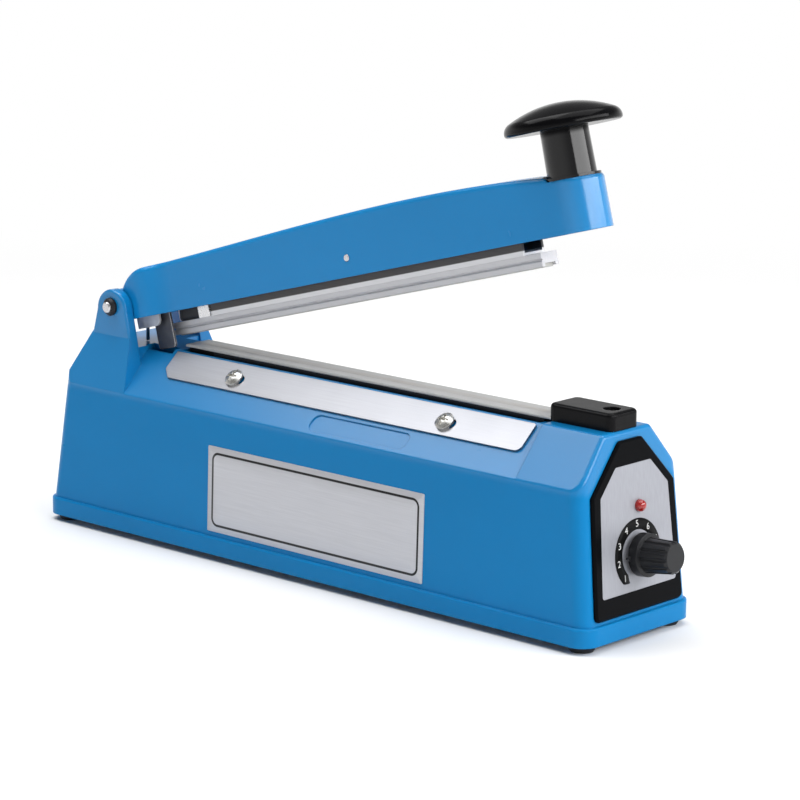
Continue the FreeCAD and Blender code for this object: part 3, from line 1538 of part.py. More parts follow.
near_plate = clamp_plate()
pieces = {
    "base_housing": base_housing(),
    "bottom_plate": bottom_plate(),
    "rubber_feet": rubber_feet(),
    "bottom_screws": bottom_screws(),
    "hinge_pin": hinge_pin(),
    "hinge_retainers": hinge_retainers(),
    "sealing_rail": sealing_rail(),
    "insulating_tape": insulating_tape(),
    "heating_ribbon": heating_ribbon(),
    "sealing_cloth": sealing_cloth(),
    "rear_terminal": rear_terminal(),
    "front_terminal": front_terminal(),
    "terminal_cover": terminal_cover(),
    "cover_screw": cover_screw(),
    "clamp_plate_near": near_plate,
    "clamp_plate_far": far_side(near_plate),
    "clamp_screws": clamp_screws(),
    "front_bezel": front_bezel(),
    "scale_plate": scale_plate(),
    "indicator_lamp": indicator_lamp(),
    "potentiometer": potentiometer(),
    "panel_nut": panel_nut(),
    "timer_shaft": timer_shaft(),
    "timer_knob": timer_knob(),
    "timer_board": timer_board(),
    "timer_relay": timer_relay(),
    "transformer_core": transformer_core(),
    "transformer_coil": transformer_coil(),
    "transformer_strap": transformer_strap(),
    "strap_screws": strap_screws(),
    "micro_switch": micro_switch(),
    "switch_plunger": switch_plunger(),
    "switch_screws": switch_screws(),
    "inlet_gland": inlet_gland(),
    "return_spring": return_spring(),
    "arm_shell": arm_shell(),
    "press_knob": press_knob(),
    "knob_screw": knob_screw(),
    "hinge_bracket": hinge_bracket(),
    "bracket_screw": bracket_screw(),
    "switch_striker": switch_striker(),
    "bar_pivot_pin": bar_pivot_pin(),
    "press_bar": press_bar(),
    "silicone_strip": silicone_strip(),
    "bar_carrier": bar_carrier(),
    "carrier_clip": carrier_clip(),
    "bar_screws": bar_screws(),
}

os.makedirs("parts", exist_ok=True)
for name, shape in pieces.items():
    shape.exportStep("parts/%s.step" % name)

print("arm closes by %.3f degrees, bar rocks by %.3f degrees" % (close_angle, rock_angle))
print("hinge axis at x %.3f z %.3f" % (hinge_x, hinge_z))
print("strip top %.3f, plunger top %.3f" % (strip_top_z, plunger_top_z))
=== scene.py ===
import json
import math

import bpy
import numpy as np
from mathutils import Matrix, Vector


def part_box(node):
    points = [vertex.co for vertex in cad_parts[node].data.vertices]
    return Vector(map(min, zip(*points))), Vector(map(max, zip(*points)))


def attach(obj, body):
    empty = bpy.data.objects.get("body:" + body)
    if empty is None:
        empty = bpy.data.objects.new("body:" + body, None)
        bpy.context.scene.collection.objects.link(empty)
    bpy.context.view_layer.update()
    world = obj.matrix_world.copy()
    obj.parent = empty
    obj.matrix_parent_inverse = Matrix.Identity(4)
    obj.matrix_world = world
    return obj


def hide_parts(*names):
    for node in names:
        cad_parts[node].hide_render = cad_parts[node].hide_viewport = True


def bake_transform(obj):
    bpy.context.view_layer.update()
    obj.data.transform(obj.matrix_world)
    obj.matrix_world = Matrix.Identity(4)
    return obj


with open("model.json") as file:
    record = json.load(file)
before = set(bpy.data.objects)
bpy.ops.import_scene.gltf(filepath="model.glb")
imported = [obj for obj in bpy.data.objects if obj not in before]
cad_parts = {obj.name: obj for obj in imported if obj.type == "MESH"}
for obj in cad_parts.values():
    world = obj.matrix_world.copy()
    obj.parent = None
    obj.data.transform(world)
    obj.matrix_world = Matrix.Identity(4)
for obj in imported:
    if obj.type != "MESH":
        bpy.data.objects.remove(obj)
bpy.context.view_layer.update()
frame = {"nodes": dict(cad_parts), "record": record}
nodes = frame["nodes"]

MM = 0.001

# Camera, as the photograph was taken: degrees, metres, and millimetres for the sensor and the lens.
CAMERA_AZIMUTH = 42.535
CAMERA_ELEVATION = 12.443
CAMERA_ROLL = 0.318
CAMERA_DISTANCE = 1.370505
CAMERA_AIM_HEIGHT = 0.070
CAMERA_AIM_RIGHT = 0.020676
CAMERA_AIM_UP = 0.003838
CAMERA_SENSOR = 36.0
CAMERA_LENS = 144.35
CAMERA_REACH = 50.0

# Softboxes: name, place, aim, width and height in metres, and power in watts.
SOFTBOXES = [
    ("rear_sky", (-0.42, -0.17, 1.05), (0.08, -0.02, 0.08), (0.8, 0.8), 6.6),
    ("overhead", (0.2, 0.25, 2.2), (0.0, 0.0, 0.08), (2.4, 2.4), 39.0),
    ("nose_side", (1.1, 0.22, 0.62), (0.1, 0.0, 0.15), (1.6, 0.4), 12.5),
]

# Surroundings: the even fill, the ceiling's level, and the rises of a ray between which it dims.
AMBIENT = 0.15
CEILING = 0.25
CEILING_FROM = 0.06
CEILING_FULL = 0.36
WHITE = (1.0, 1.0, 1.0, 1.0)

# Floor, in metres: half its width, and the distances between which its shaded middle turns to plain white.
FLOOR_REACH = 6.0
FLOOR_PLAIN = 0.45
FLOOR_WHITE = 0.9
FLOOR_POINTS = 3

# Arm at rest: its lift, and a point of the hinge's axis in metres.
OPEN_ANGLE = math.radians(15.15)
HINGE = Vector((-0.1255, 0.0, 0.101))

# Leaning walls that carry the label and the timer scale, in radians and millimetres.
FRONT_LEAN = math.radians(5.4)
SIDE_RISE = 54.2
SIDE_LEAN_IN = 1.7
SIDE_DRAFT = math.atan2(SIDE_LEAN_IN, SIDE_RISE)
SIDE_FOOT = 33.4
RIM_TOP = 10.8
DIAL_PLACE = np.array([155.094, 0.0, 35.191])

# Stretches of a pattern, even or drawn out along X, and its turns, level or with the arm.
EVEN = (1, 1, 1)
ALONG_X = (0.02, 1, 1)
LEVEL = (0, 0, 0)
ARM_TURN = (0, OPEN_ANGLE, 0)

# Softened edges: the samples that each takes.
BEVEL_SAMPLES = 6

# Plastic skin: flow and gloss clouds in millimetres, the spread of its roughness and the grain's detail.
FLOW_SIZE = 38
FLOW_STRETCH = (0.5, 1, 1)
GLOSS_SIZE = 9
GLOSS_SPREAD = 0.10
GRAIN_DETAIL = 2.0

# Brushed metal: streaks, clouds and edges in millimetres, and the spreads of its roughness.
STREAK_SIZE = 0.5
STREAK_DETAIL = 4.0
STREAK_SPREAD = 0.16
STREAK_DEPTH = 0.006
CLOUD_SIZE = 16
CLOUD_SPREAD = 0.08
METAL_EDGE = 0.25

# Polish of the housing by height, in millimetres, and the share of gloss on the blue pieces.
SHOULDER_FROM = 62.0
SHOULDER_FULL = 66.0
BLUE_POLISH = 0.75

# Polish of the arm's nose by length, and of the knob by level off the hinge, in millimetres.
NOSE_FROM = 257.0
NOSE_FULL = 264.0
STEM_TOP = 31.0
CAP_RIM = 33.0
STEM_POLISH = 0.6

# Repeats of the core's sheets, the coil's turns, the board's runs and the cloth's threads, in millimetres.
SHEET_STEP = 0.5
TURN_STEP = 1.1
RUN_STEP = 4.5
THREAD_STEP = 0.45

# Label on the near side wall, in millimetres; the blur is a share of the line's width.
LABEL_LENGTH = 126.0
LABEL_HEIGHT = 37.8
LABEL_MIDDLE_X = 8.5
LABEL_MIDDLE_UP = 21.1
LABEL_GAP = 0.02
LABEL_THICKNESS = 0.35
LABEL_EDGE = 0.12
LABEL_CORNER = 0.6
LABEL_CORNER_POINTS = 9
LABEL_LINE_INSET = 3.0
LABEL_LINE_RADIUS = 3.2
LABEL_LINE_WIDTH = 1.05
LABEL_LINE_BLUR = 0.2

# Printed timer scale, in millimetres and degrees; the tip is a share of the ring's width.
DIAL_FACE = 1.7
DIAL_INNER = 9.9
DIAL_OUTER = 14.5
DIAL_MIDDLE = (DIAL_INNER + DIAL_OUTER) / 2
DIAL_GAP = 0.01
DIAL_INK = 0.06
DIAL_START = 241.0
DIAL_SWEEP = 270.0
DIAL_STEPS = 91
DIAL_POINT = 14.0
DIAL_TIP = 0.04
DIGITS = "12345678"
DIGIT_SIZE = 3.9
DIGIT_START = 224.0
DIGIT_STEP = 34.0
DIGIT_RAISE = 0.05
DIGIT_CURVE_STEPS = 3

# Return spring round the hinge pin, in millimetres, with its whole turns and the part of a turn after them.
SPRING_WIRE = 0.8
SPRING_COIL = 4.0
SPRING_TURNS = 4
SPRING_PART_TURN = 0.75
SPRING_REAR = -5.0
SPRING_FRONT = 8.0
SPRING_LEG = 17.0
SPRING_TURN_STEPS = 40
WIRE_SIDES = 12

# Carrier channel on the press bar, in millimetres along the arm, across it and off the hinge's level.
# Level off the hinge above which the carrier gets painted shade from the arm, and the blur of that line.
CARRIER_SHADE_LINE = -10.4
CARRIER_SHADE_BLUR = 0.2
TAIL_REAR = 24.6
TAIL_FRONT = 37.9
TAIL_SLANT = 1.6
TAIL_HALF = 6.1
TAIL_LOW = -11.9
TAIL_HIGH = -3.4
TAIL_CORNER = 1.4
TAIL_SHEET = 1.0
TAIL_CORNER_POINTS = 6
TAIL_CHEEK_POINTS = 5
TAIL_STEPS = 8

# Cloth over the rail, in millimetres, and the share of brown along the ribbon.
CLOTH_THICKNESS = 0.25
CLOTH_SKIRT = 1.0
CLOTH_CORNER = 0.7
CLOTH_CORNER_POINTS = 7
CLOTH_TOP_POINTS = 41
CLOTH_STEPS = 160
RIBBON_HALF = 1.5
RIBBON_RAISE = 0.22
RIBBON_EASE = 1.0
RIPPLE_DEPTH = 0.04
RIPPLE_SHORT = 6.5
RIPPLE_LONG = 17.0
RIPPLE_MARGIN = 1.0
BROWN_FULL = 1.2
BROWN_END = 2.4
BROWN_SHARE = 0.35


class Value:
    """A node's output in Python sums; every step adds one Math node."""

    def __init__(self, owner, socket):
        self.owner = owner
        self.socket = socket

    def step(self, operation, *terms):
        return self.owner.node("ShaderNodeMath", {"operation": operation}, dict(enumerate(terms)))

    def __add__(self, other):
        return self.step("ADD", self, other)

    def __sub__(self, other):
        return self.step("SUBTRACT", self, other)

    def __rsub__(self, other):
        return self.step("SUBTRACT", other, self)

    def __mul__(self, other):
        return self.step("MULTIPLY", self, other)

    def __abs__(self):
        return self.step("ABSOLUTE", self)

    __radd__ = __add__
    __rmul__ = __mul__

    def above(self, limit):
        return self.step("GREATER_THAN", self, limit)

    def most(self, other):
        return self.step("MAXIMUM", self, other)

    def root(self):
        return self.step("SQRT", self)

    def wave(self, length):
        """A sine wave between -1 and 1, of a length in millimetres."""
        return self.step("SINE", self * (2 * math.pi / (length * MM)))

    def share(self):
        """Values from -1 to 1 as shares from 0 to 1."""
        return self * 0.5 + 0.5

    def spread(self, middle, width):
        """Values from 0 to 1 laid over a width about a middle value."""
        return self * width + (middle - width / 2)

    def ramp(self, low, high, first=0.0, last=1.0):
        """The first value below the low limit, the last one above the high limit, smooth between."""
        inputs = {"Value": self, "From Min": low, "From Max": high, "To Min": first, "To Max": last}
        return self.owner.node("ShaderNodeMapRange", {"interpolation_type": "SMOOTHSTEP"}, inputs)


class NodeTree:
    """A tree of shader nodes, all made by one method."""

    def __init__(self, tree):
        self.tree = tree

    def node(self, kind, settings=None, inputs=None, output=0):
        """Any node: its settings first, then the values or links of its sockets."""
        made = self.tree.nodes.new(kind)
        for key, value in (settings or {}).items():
            setattr(made, key, value)
        for key, value in (inputs or {}).items():
            if isinstance(value, Value):
                self.join(value, made.inputs[key])
            else:
                made.inputs[key].default_value = value
        return Value(self, made.outputs[output])

    def join(self, value, socket):
        """Links a value to a socket."""
        self.tree.links.new(value.socket, socket)

    def part(self, vector, axis):
        """One number of a vector, by the letter of its axis."""
        return self.node("ShaderNodeSeparateXYZ", {}, {"Vector": vector}, axis)

    def dot(self, first, second):
        """The dot product of two vectors."""
        return self.node("ShaderNodeVectorMath", {"operation": "DOT_PRODUCT"}, {0: first, 1: second}, "Value")

    def background_rays(self):
        """1 for rays that show the white background: from the camera, mirrored or let through."""
        direct = self.node("ShaderNodeLightPath", output="Is Camera Ray")
        mirrored = self.node("ShaderNodeLightPath", output="Is Glossy Ray")
        let_through = self.node("ShaderNodeLightPath", output="Is Transmission Ray")
        return direct.most(mirrored).most(let_through)


class Finish(NodeTree):
    """One material: a Principled shader, its constants and what varies over the surface."""

    def __init__(self, name, **constants):
        self.material = bpy.data.materials.new(name)
        self.material.use_nodes = True
        super().__init__(self.material.node_tree)
        self.shader = self.tree.nodes["Principled BSDF"]
        self.normal = None
        self.keep(**constants)

    def keep(self, **constants):
        """Constants of the shader, named as its sockets are, with an underscore for each space."""
        for key, value in constants.items():
            self.shader.inputs[key.replace("_", " ")].default_value = value

    def feed(self, name, value):
        """Links a value to one of the shader's sockets."""
        self.join(value, self.shader.inputs[name])

    def place(self, stretch=EVEN, turn=LEVEL):
        """Object coordinates, turned and stretched."""
        point = self.node("ShaderNodeTexCoord", output="Object")
        return self.node("ShaderNodeMapping", {}, {"Vector": point, "Rotation": turn, "Scale": stretch})

    def noise(self, size, stretch=EVEN, turn=LEVEL, detail=3.0):
        """Cloudy values about 0.5, with features of a size in millimetres before the stretch."""
        inputs = {"Vector": self.place(stretch, turn), "Scale": 1 / (size * MM), "Detail": detail}
        return self.node("ShaderNodeTexNoise", {}, inputs)

    def mix(self, factor, first, second):
        """A colour between two; the Mix node's colour sockets are 6 and 7, and its colour output is 2."""
        return self.node("ShaderNodeMix", {"data_type": "RGBA"}, {0: factor, 6: first, 7: second}, 2)

    def shade(self, factor, colour, low, high):
        """A colour between a darker and a lighter share of itself."""
        return self.mix(factor, scaled(colour, low), scaled(colour, high))

    def soften(self, radius):
        """Edges that shine as if rounded to a radius in millimetres."""
        self.normal = self.node("ShaderNodeBevel", {"samples": BEVEL_SAMPLES}, {"Radius": radius * MM})
        self.feed("Normal", self.normal)

    def bump(self, height, depth):
        """Relief of a depth in millimetres, on top of softened edges where there are any."""
        inputs = {"Height": height, "Distance": depth * MM, "Strength": 1.0}
        if self.normal:
            inputs["Normal"] = self.normal
        self.normal = self.node("ShaderNodeBump", {}, inputs)
        self.feed("Normal", self.normal)

    def arm_reach(self, along, up):
        """Distance from the hinge along a direction of the lifted arm."""
        way = Matrix.Rotation(-OPEN_ANGLE, 3, "Y") @ Vector((along, 0, up))
        return self.dot(self.place(), way) - HINGE.dot(way)


def paint(red, green, blue):
    """A colour written as it looks on a screen, 0 to 255, as linear values by the screen's usual curve."""
    shares = np.array([red, green, blue]) / 255
    linear = np.where(shares <= 0.04045, shares / 12.92, ((shares + 0.055) / 1.055) ** 2.4)
    return (*[float(x) for x in linear], 1.0)


def scaled(colour, share):
    """A colour made lighter or darker by a share, up to white."""
    return (*[min(1.0, x * share) for x in colour[:3]], 1.0)


BLUE = paint(12, 127, 190)

# Moulded plastics: colour, roughness, grain size, grain depth, shine and edge radius; sizes in millimetres.
PLASTICS = {
    "housing_blue": (BLUE, 0.3, 0.9, 0.005, 0.12, 0.8),
    "arm_blue": (scaled(BLUE, 1.12), 0.25, 0.9, 0.005, 0.3, 0.8),
    "knob_black": (paint(8, 8, 10), 0.18, 1.2, 0.003, 0.1, 0.4),
    "cover_black": (paint(12, 12, 14), 0.24, 0.5, 0.006, 0.1, 0.8),
    "bezel_black": (paint(8, 9, 12), 0.3, 0.4, 0.008, 0.04, 0.5),
    "timer_black": (paint(28, 29, 32), 0.3, 0.5, 0.012, 0.28, 0.3),
    "switch_black": (paint(40, 40, 44), 0.5, 0.5, 0.015, 0.3, 0.2),
    "insulator_black": (paint(22, 21, 21), 0.5, 0.6, 0.02, 0.2, 0.3),
    "tape_tan": (paint(196, 160, 98), 0.4, 0.6, 0.01, 0.3, 0.1),
}

# Drawn or brushed metals: colour, roughness, stretch of the streaks, their turn and metallic share.
METALS = {
    "clamp_steel": (paint(160, 161, 166), 0.33, ALONG_X, LEVEL, 1.0),
    "rail_black": (paint(44, 44, 46), 0.3, ALONG_X, LEVEL, 0.5),
    "bar_aluminium": (paint(206, 206, 209), 0.5, ALONG_X, ARM_TURN, 0.5),
    "tail_dark": (paint(40, 41, 45), 0.42, ALONG_X, ARM_TURN, 0.5),
    "bright_steel": (paint(220, 220, 222), 0.28, EVEN, LEVEL, 1.0),
    "pin_steel": (paint(206, 206, 208), 0.26, EVEN, LEVEL, 1.0),
    "retainer_black": (paint(40, 40, 42), 0.42, EVEN, LEVEL, 0.6),
    "plate_steel": (paint(170, 172, 176), 0.46, ALONG_X, LEVEL, 0.7),
    "spring_steel": (paint(150, 150, 152), 0.32, EVEN, LEVEL, 1.0),
    "ribbon_nichrome": (paint(166, 162, 156), 0.36, ALONG_X, LEVEL, 1.0),
    "terminal_brass": (paint(206, 172, 96), 0.3, EVEN, LEVEL, 1.0),
}

# Plated steel: darker colour, lighter colour, roughness, metallic share, bloom size and edge radius.
PLATINGS = {
    "screw_zinc": (paint(196, 194, 188), paint(232, 231, 228), 0.28, 1.0, 2.2, 0.2),
    "bracket_zinc": (paint(196, 197, 200), paint(226, 227, 230), 0.46, 0.45, 2.5, 0.3),
}

# Rubbers: colour and roughness.
RUBBERS = {
    "silicone": (paint(176, 176, 172), 0.6),
    "rubber_black": (paint(34, 34, 36), 0.7),
}


def moulded(name, colour, roughness, grain_size, grain_depth, shine, edge):
    """Moulded plastic: faint flow clouds in the colour, uneven gloss and a fine skin grain."""
    finish = Finish(name, Specular_IOR_Level=shine)
    finish.soften(edge)
    flow = finish.noise(FLOW_SIZE, FLOW_STRETCH)
    finish.feed("Base Color", finish.shade(flow, colour, low=0.93, high=1.07))
    finish.feed("Roughness", finish.noise(GLOSS_SIZE).spread(roughness, GLOSS_SPREAD))
    finish.bump(finish.noise(grain_size, detail=GRAIN_DETAIL), grain_depth)
    return finish


def polish_shoulders(finish):
    """Gloss on the housing's sloped shoulders, above its satin side walls."""
    up = finish.part(finish.place(), "Z")
    finish.keep(Coat_Roughness=0.22)
    finish.feed("Coat Weight", up.ramp(SHOULDER_FROM * MM, SHOULDER_FULL * MM) * BLUE_POLISH)


def polish_nose(finish):
    """Gloss round the arm's nose."""
    along = finish.arm_reach(along=1, up=0)
    finish.keep(Coat_Roughness=0.18)
    finish.feed("Coat Weight", along.ramp(NOSE_FROM * MM, NOSE_FULL * MM) * BLUE_POLISH)


def polish_stem(finish):
    """Gloss on the press knob's stem, under its softer cap."""
    up = finish.arm_reach(along=0, up=1)
    finish.keep(Coat_Roughness=0.1)
    finish.feed("Coat Weight", (1 - up.ramp(STEM_TOP * MM, CAP_RIM * MM)) * STEM_POLISH)


def metal(name, colour, roughness, stretch, turn, metallic):
    """Drawn or brushed metal: fine streaks in its gloss, colour and relief, and broad clouds in its gloss."""
    finish = Finish(name, Metallic=metallic)
    finish.soften(METAL_EDGE)
    lines = finish.noise(STREAK_SIZE, stretch, turn, STREAK_DETAIL)
    clouds = finish.noise(CLOUD_SIZE)
    finish.feed("Base Color", finish.shade(lines, colour, low=0.86, high=1.08))
    finish.feed("Roughness", lines.spread(roughness, STREAK_SPREAD) + clouds.spread(0.0, CLOUD_SPREAD))
    finish.bump(lines, STREAK_DEPTH)
    return finish


def plated(name, dark, light, roughness, metallic, bloom_size, edge):
    """Plated steel with a soft bloom in its colour and gloss."""
    finish = Finish(name, Metallic=metallic)
    finish.soften(edge)
    bloom = finish.noise(bloom_size)
    finish.feed("Base Color", finish.mix(bloom, dark, light))
    finish.feed("Roughness", bloom.spread(roughness, width=0.2))
    return finish


def rubber(name, colour, roughness):
    """Rubber: dusty clouds and a fine matt skin."""
    finish = Finish(name, Specular_IOR_Level=0.35)
    finish.soften(radius=0.3)
    dust = finish.noise(size=6)
    finish.feed("Base Color", finish.shade(dust, colour, low=0.85, high=1.2))
    finish.feed("Roughness", dust.spread(roughness, width=0.12))
    finish.bump(finish.noise(size=0.4), depth=0.02)
    return finish


def lamp_lens():
    """Tinted lens of the lamp: deep red with lighter clouds and a hard gloss."""
    finish = Finish("lamp_red", Roughness=0.12, Coat_Weight=0.8, Coat_Roughness=0.04)
    finish.feed("Base Color", finish.mix(finish.noise(size=1.6), paint(126, 8, 6), paint(184, 18, 13)))
    return finish


def carrier_steel():
    """Sheet channel: bright steel along its lower edge beside the bar, darkened above it by painted shade
    from the arm over it.
    """
    finish = Finish("carrier_steel", Metallic=0.6)
    finish.soften(METAL_EDGE)
    lines = finish.noise(size=0.6, stretch=ALONG_X, turn=ARM_TURN, detail=STREAK_DETAIL)
    # The darker colour is painted shade: the channel's steel as darkened where the arm shades it.
    shaded_steel = finish.mix(lines, paint(62, 61, 62), paint(84, 82, 82))
    lit_steel = finish.mix(lines, paint(206, 206, 208), paint(230, 230, 232))
    low = (CARRIER_SHADE_LINE - CARRIER_SHADE_BLUR) * MM
    high = (CARRIER_SHADE_LINE + CARRIER_SHADE_BLUR) * MM
    # Share of painted shade: none below the level off the hinge, full above it.
    painted_shade = finish.arm_reach(along=0, up=1).ramp(low, high)
    finish.feed("Base Color", finish.mix(painted_shade, lit_steel, shaded_steel))
    finish.feed("Roughness", lines.spread(middle=0.42, width=STREAK_SPREAD))
    finish.bump(lines, STREAK_DEPTH)
    return finish


def striker_steel():
    """Dark steel striker with a painted highlight along its edges, where the rounded normal leaves the flat
    one.
    """
    finish = Finish("striker_steel", Metallic=0.7)
    finish.soften(radius=0.5)
    flat = finish.node("ShaderNodeNewGeometry", output="True Normal")
    # Painted highlight: the edges turn pale steel where the rounded normal leaves the flat one.
    edge_highlight = (1 - finish.dot(flat, finish.normal)).ramp(low=0.02, high=0.14)
    clouds = finish.noise(size=3)
    steel = finish.mix(clouds, paint(84, 84, 88), paint(108, 108, 112))
    finish.feed("Base Color", finish.mix(edge_highlight, steel, paint(214, 214, 216)))
    finish.feed("Roughness", clouds.spread(middle=0.42, width=0.16))
    return finish


def laminated_core():
    """Stacked iron sheets: dark varnish with a line at every sheet along Y."""
    finish = Finish("core_iron", Metallic=0.6)
    lines = finish.part(finish.place(), "Y").wave(SHEET_STEP).share()
    finish.feed("Base Color", finish.mix(lines, paint(52, 50, 48), paint(92, 90, 88)))
    finish.feed("Roughness", lines.spread(middle=0.5, width=0.2))
    finish.bump(lines, depth=0.05)
    return finish


def taped_coil():
    """Winding under amber tape, with its turns showing through as fine rings in height."""
    finish = Finish("coil_copper", Coat_Weight=0.4, Coat_Roughness=0.2)
    turns = finish.part(finish.place(), "Z").wave(TURN_STEP).share()
    finish.feed("Base Color", finish.mix(turns, paint(150, 96, 34), paint(206, 152, 66)))
    finish.feed("Roughness", finish.noise(size=5).spread(middle=0.4, width=0.2))
    finish.bump(turns, depth=0.12)
    return finish


def circuit_board():
    """Green solder mask with paler copper runs below it."""
    finish = Finish("board_green", Coat_Weight=0.3, Coat_Roughness=0.2)
    inputs = {"Vector": finish.place(), "Scale": 1 / (RUN_STEP * MM)}
    cells = finish.node("ShaderNodeTexVoronoi", {"feature": "DISTANCE_TO_EDGE"}, inputs)
    mask = cells.ramp(low=0.06, high=0.1)
    finish.feed("Base Color", finish.mix(mask, paint(46, 118, 72), paint(22, 74, 44)))
    finish.feed("Roughness", mask.spread(middle=0.375, width=0.15))
    finish.bump(1 - mask, depth=0.03)
    return finish


def coated_cloth():
    """Coated glass cloth: a fine plain weave under a slick skin, browned faintly along the ribbon."""
    finish = Finish("cloth_white", Coat_Weight=0.35, Coat_Roughness=0.25)
    spot = finish.node("ShaderNodeUVMap", {"uv_map": "cloth"})
    along = finish.part(spot, "X")
    over = finish.part(spot, "Y")
    weave = (along.wave(THREAD_STEP) * over.wave(THREAD_STEP)).share()
    heat = 1 - abs(over).ramp(BROWN_FULL * MM, BROWN_END * MM)
    brown = heat * finish.noise(size=7, stretch=(0.3, 1, 1)) * BROWN_SHARE
    plain = finish.mix(weave, paint(178, 178, 177), paint(202, 202, 201))
    finish.feed("Base Color", finish.mix(brown, plain, paint(150, 128, 100)))
    finish.feed("Roughness", weave.spread(middle=0.42, width=0.12))
    finish.bump(weave, depth=0.03)
    return finish


def label_foil():
    """Bare silver foil with a black line round it, inset from the edge and rounded at the corners."""
    finish = Finish("label_foil", Metallic=0.35)
    spot = finish.node("ShaderNodeUVMap", {"uv_map": "flat"})
    inset = LABEL_LINE_INSET + LABEL_LINE_RADIUS
    out_x = (abs(finish.part(spot, "X")) - (LABEL_LENGTH / 2 - inset) * MM).most(0.0)
    out_y = (abs(finish.part(spot, "Y")) - (LABEL_HEIGHT / 2 - inset) * MM).most(0.0)
    off = abs((out_x * out_x + out_y * out_y).root() - LABEL_LINE_RADIUS * MM)
    outside = out_x.most(out_y).above(0.0)
    solid = LABEL_LINE_WIDTH * (1 - LABEL_LINE_BLUR) / 2 * MM
    faded = LABEL_LINE_WIDTH * (1 + LABEL_LINE_BLUR) / 2 * MM
    line = (1 - off.ramp(solid, faded)) * outside
    brushed = finish.noise(size=0.6, stretch=(0.03, 1, 1))
    silver = finish.mix(brushed, paint(186, 187, 193), paint(206, 207, 212))
    finish.feed("Base Color", finish.mix(line, silver, paint(22, 22, 24)))
    finish.feed("Roughness", brushed.spread(middle=0.41, width=0.14))
    finish.bump(brushed, depth=0.004)
    return finish


def scale_silver():
    """Silver front plate: fine upright brushing under a thin clear coat."""
    finish = Finish("scale_silver", Metallic=0.3, Coat_Weight=0.15, Coat_Roughness=0.25)
    finish.soften(radius=0.15)
    lines = finish.noise(size=0.5, stretch=(1, 1, 0.04))
    finish.feed("Base Color", finish.mix(lines, paint(150, 152, 160), paint(170, 172, 180)))
    finish.feed("Roughness", lines.spread(middle=0.44, width=0.16))
    finish.bump(lines, depth=0.004)
    return finish


def dial_ink(name, colour):
    """Printed ink, slightly uneven in its cover."""
    finish = Finish(name, Roughness=0.45, Specular_IOR_Level=0.1)
    finish.feed("Base Color", finish.shade(finish.noise(size=0.8), colour, low=0.9, high=1.1))
    return finish


def finishes():
    """Finishes by name: one for each slot of the record, and those of the hinge bracket and the tongue."""
    made = {name: moulded(name, *recipe) for name, recipe in PLASTICS.items()}
    made.update({name: metal(name, *recipe) for name, recipe in METALS.items()})
    made.update({name: plated(name, *recipe) for name, recipe in PLATINGS.items()})
    made.update({name: rubber(name, *recipe) for name, recipe in RUBBERS.items()})
    polish_shoulders(made["housing_blue"])
    polish_nose(made["arm_blue"])
    polish_stem(made["knob_black"])
    made["scale_silver"] = scale_silver()
    made["carrier_steel"] = carrier_steel()
    made["striker_steel"] = striker_steel()
    made["lamp_red"] = lamp_lens()
    made["core_iron"] = laminated_core()
    made["coil_copper"] = taped_coil()
    made["board_green"] = circuit_board()
    made["cloth_white"] = coated_cloth()
    return made


def dress(finish_of):
    """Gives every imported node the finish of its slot, and the hinge bracket its own."""
    for subpart in frame["record"]["subparts"]:
        piece = nodes[subpart["node"]]
        piece.data.materials.clear()
        piece.data.materials.append(finish_of[subpart["material_slot"]].material)
    nodes["hinge_bracket"].data.materials[0] = finish_of["bracket_zinc"].material


def surface(name, points, uv=None, around=False):
    """A mesh through a grid of points; with around, the second direction closes on itself."""
    rows, columns = points.shape[:2]
    index = np.arange(rows * columns).reshape(rows, columns)
    if around:
        index = np.concatenate([index, index[:, :1]], axis=1)
    corners = [index[:-1, :-1], index[:-1, 1:], index[1:, 1:], index[1:, :-1]]
    faces = np.stack(corners, axis=-1).reshape(-1, 4)
    mesh = bpy.data.meshes.new(name)
    mesh.from_pydata(points.reshape(-1, 3), [], faces.tolist())
    if uv is not None:
        layer_name, flat = uv
        layer = mesh.uv_layers.new(name=layer_name)
        layer.uv.foreach_set("vector", flat.reshape(-1, 2)[faces.ravel()].astype(np.float32).ravel())
    mesh.polygons.foreach_set("use_smooth", np.ones(len(mesh.polygons), bool))
    made = bpy.data.objects.new(name, mesh)
    bpy.context.scene.collection.objects.link(made)
    return made


def thicken(piece, thickness):
    """Gives an open surface a thickness in millimetres, half to either side."""
    wall = piece.modifiers.new("thickness", "SOLIDIFY")
    wall.thickness = thickness * MM
    wall.offset = 0


def rounded_outline(length, height, radius):
    """Points round a rectangle, anticlockwise: a quarter circle about each of its four inner corners."""
    corners = np.array([[1, 1], [-1, 1], [-1, -1], [1, -1]])
    centres = corners * np.array([length / 2 - radius, height / 2 - radius])
    quarter = np.pi / 2
    turn = np.linspace(0, quarter, LABEL_CORNER_POINTS) + quarter * np.arange(len(corners))[:, None]
    arcs = centres[:, None] + radius * np.stack([np.cos(turn), np.sin(turn)], axis=-1)
    return arcs.reshape(-1, 2)


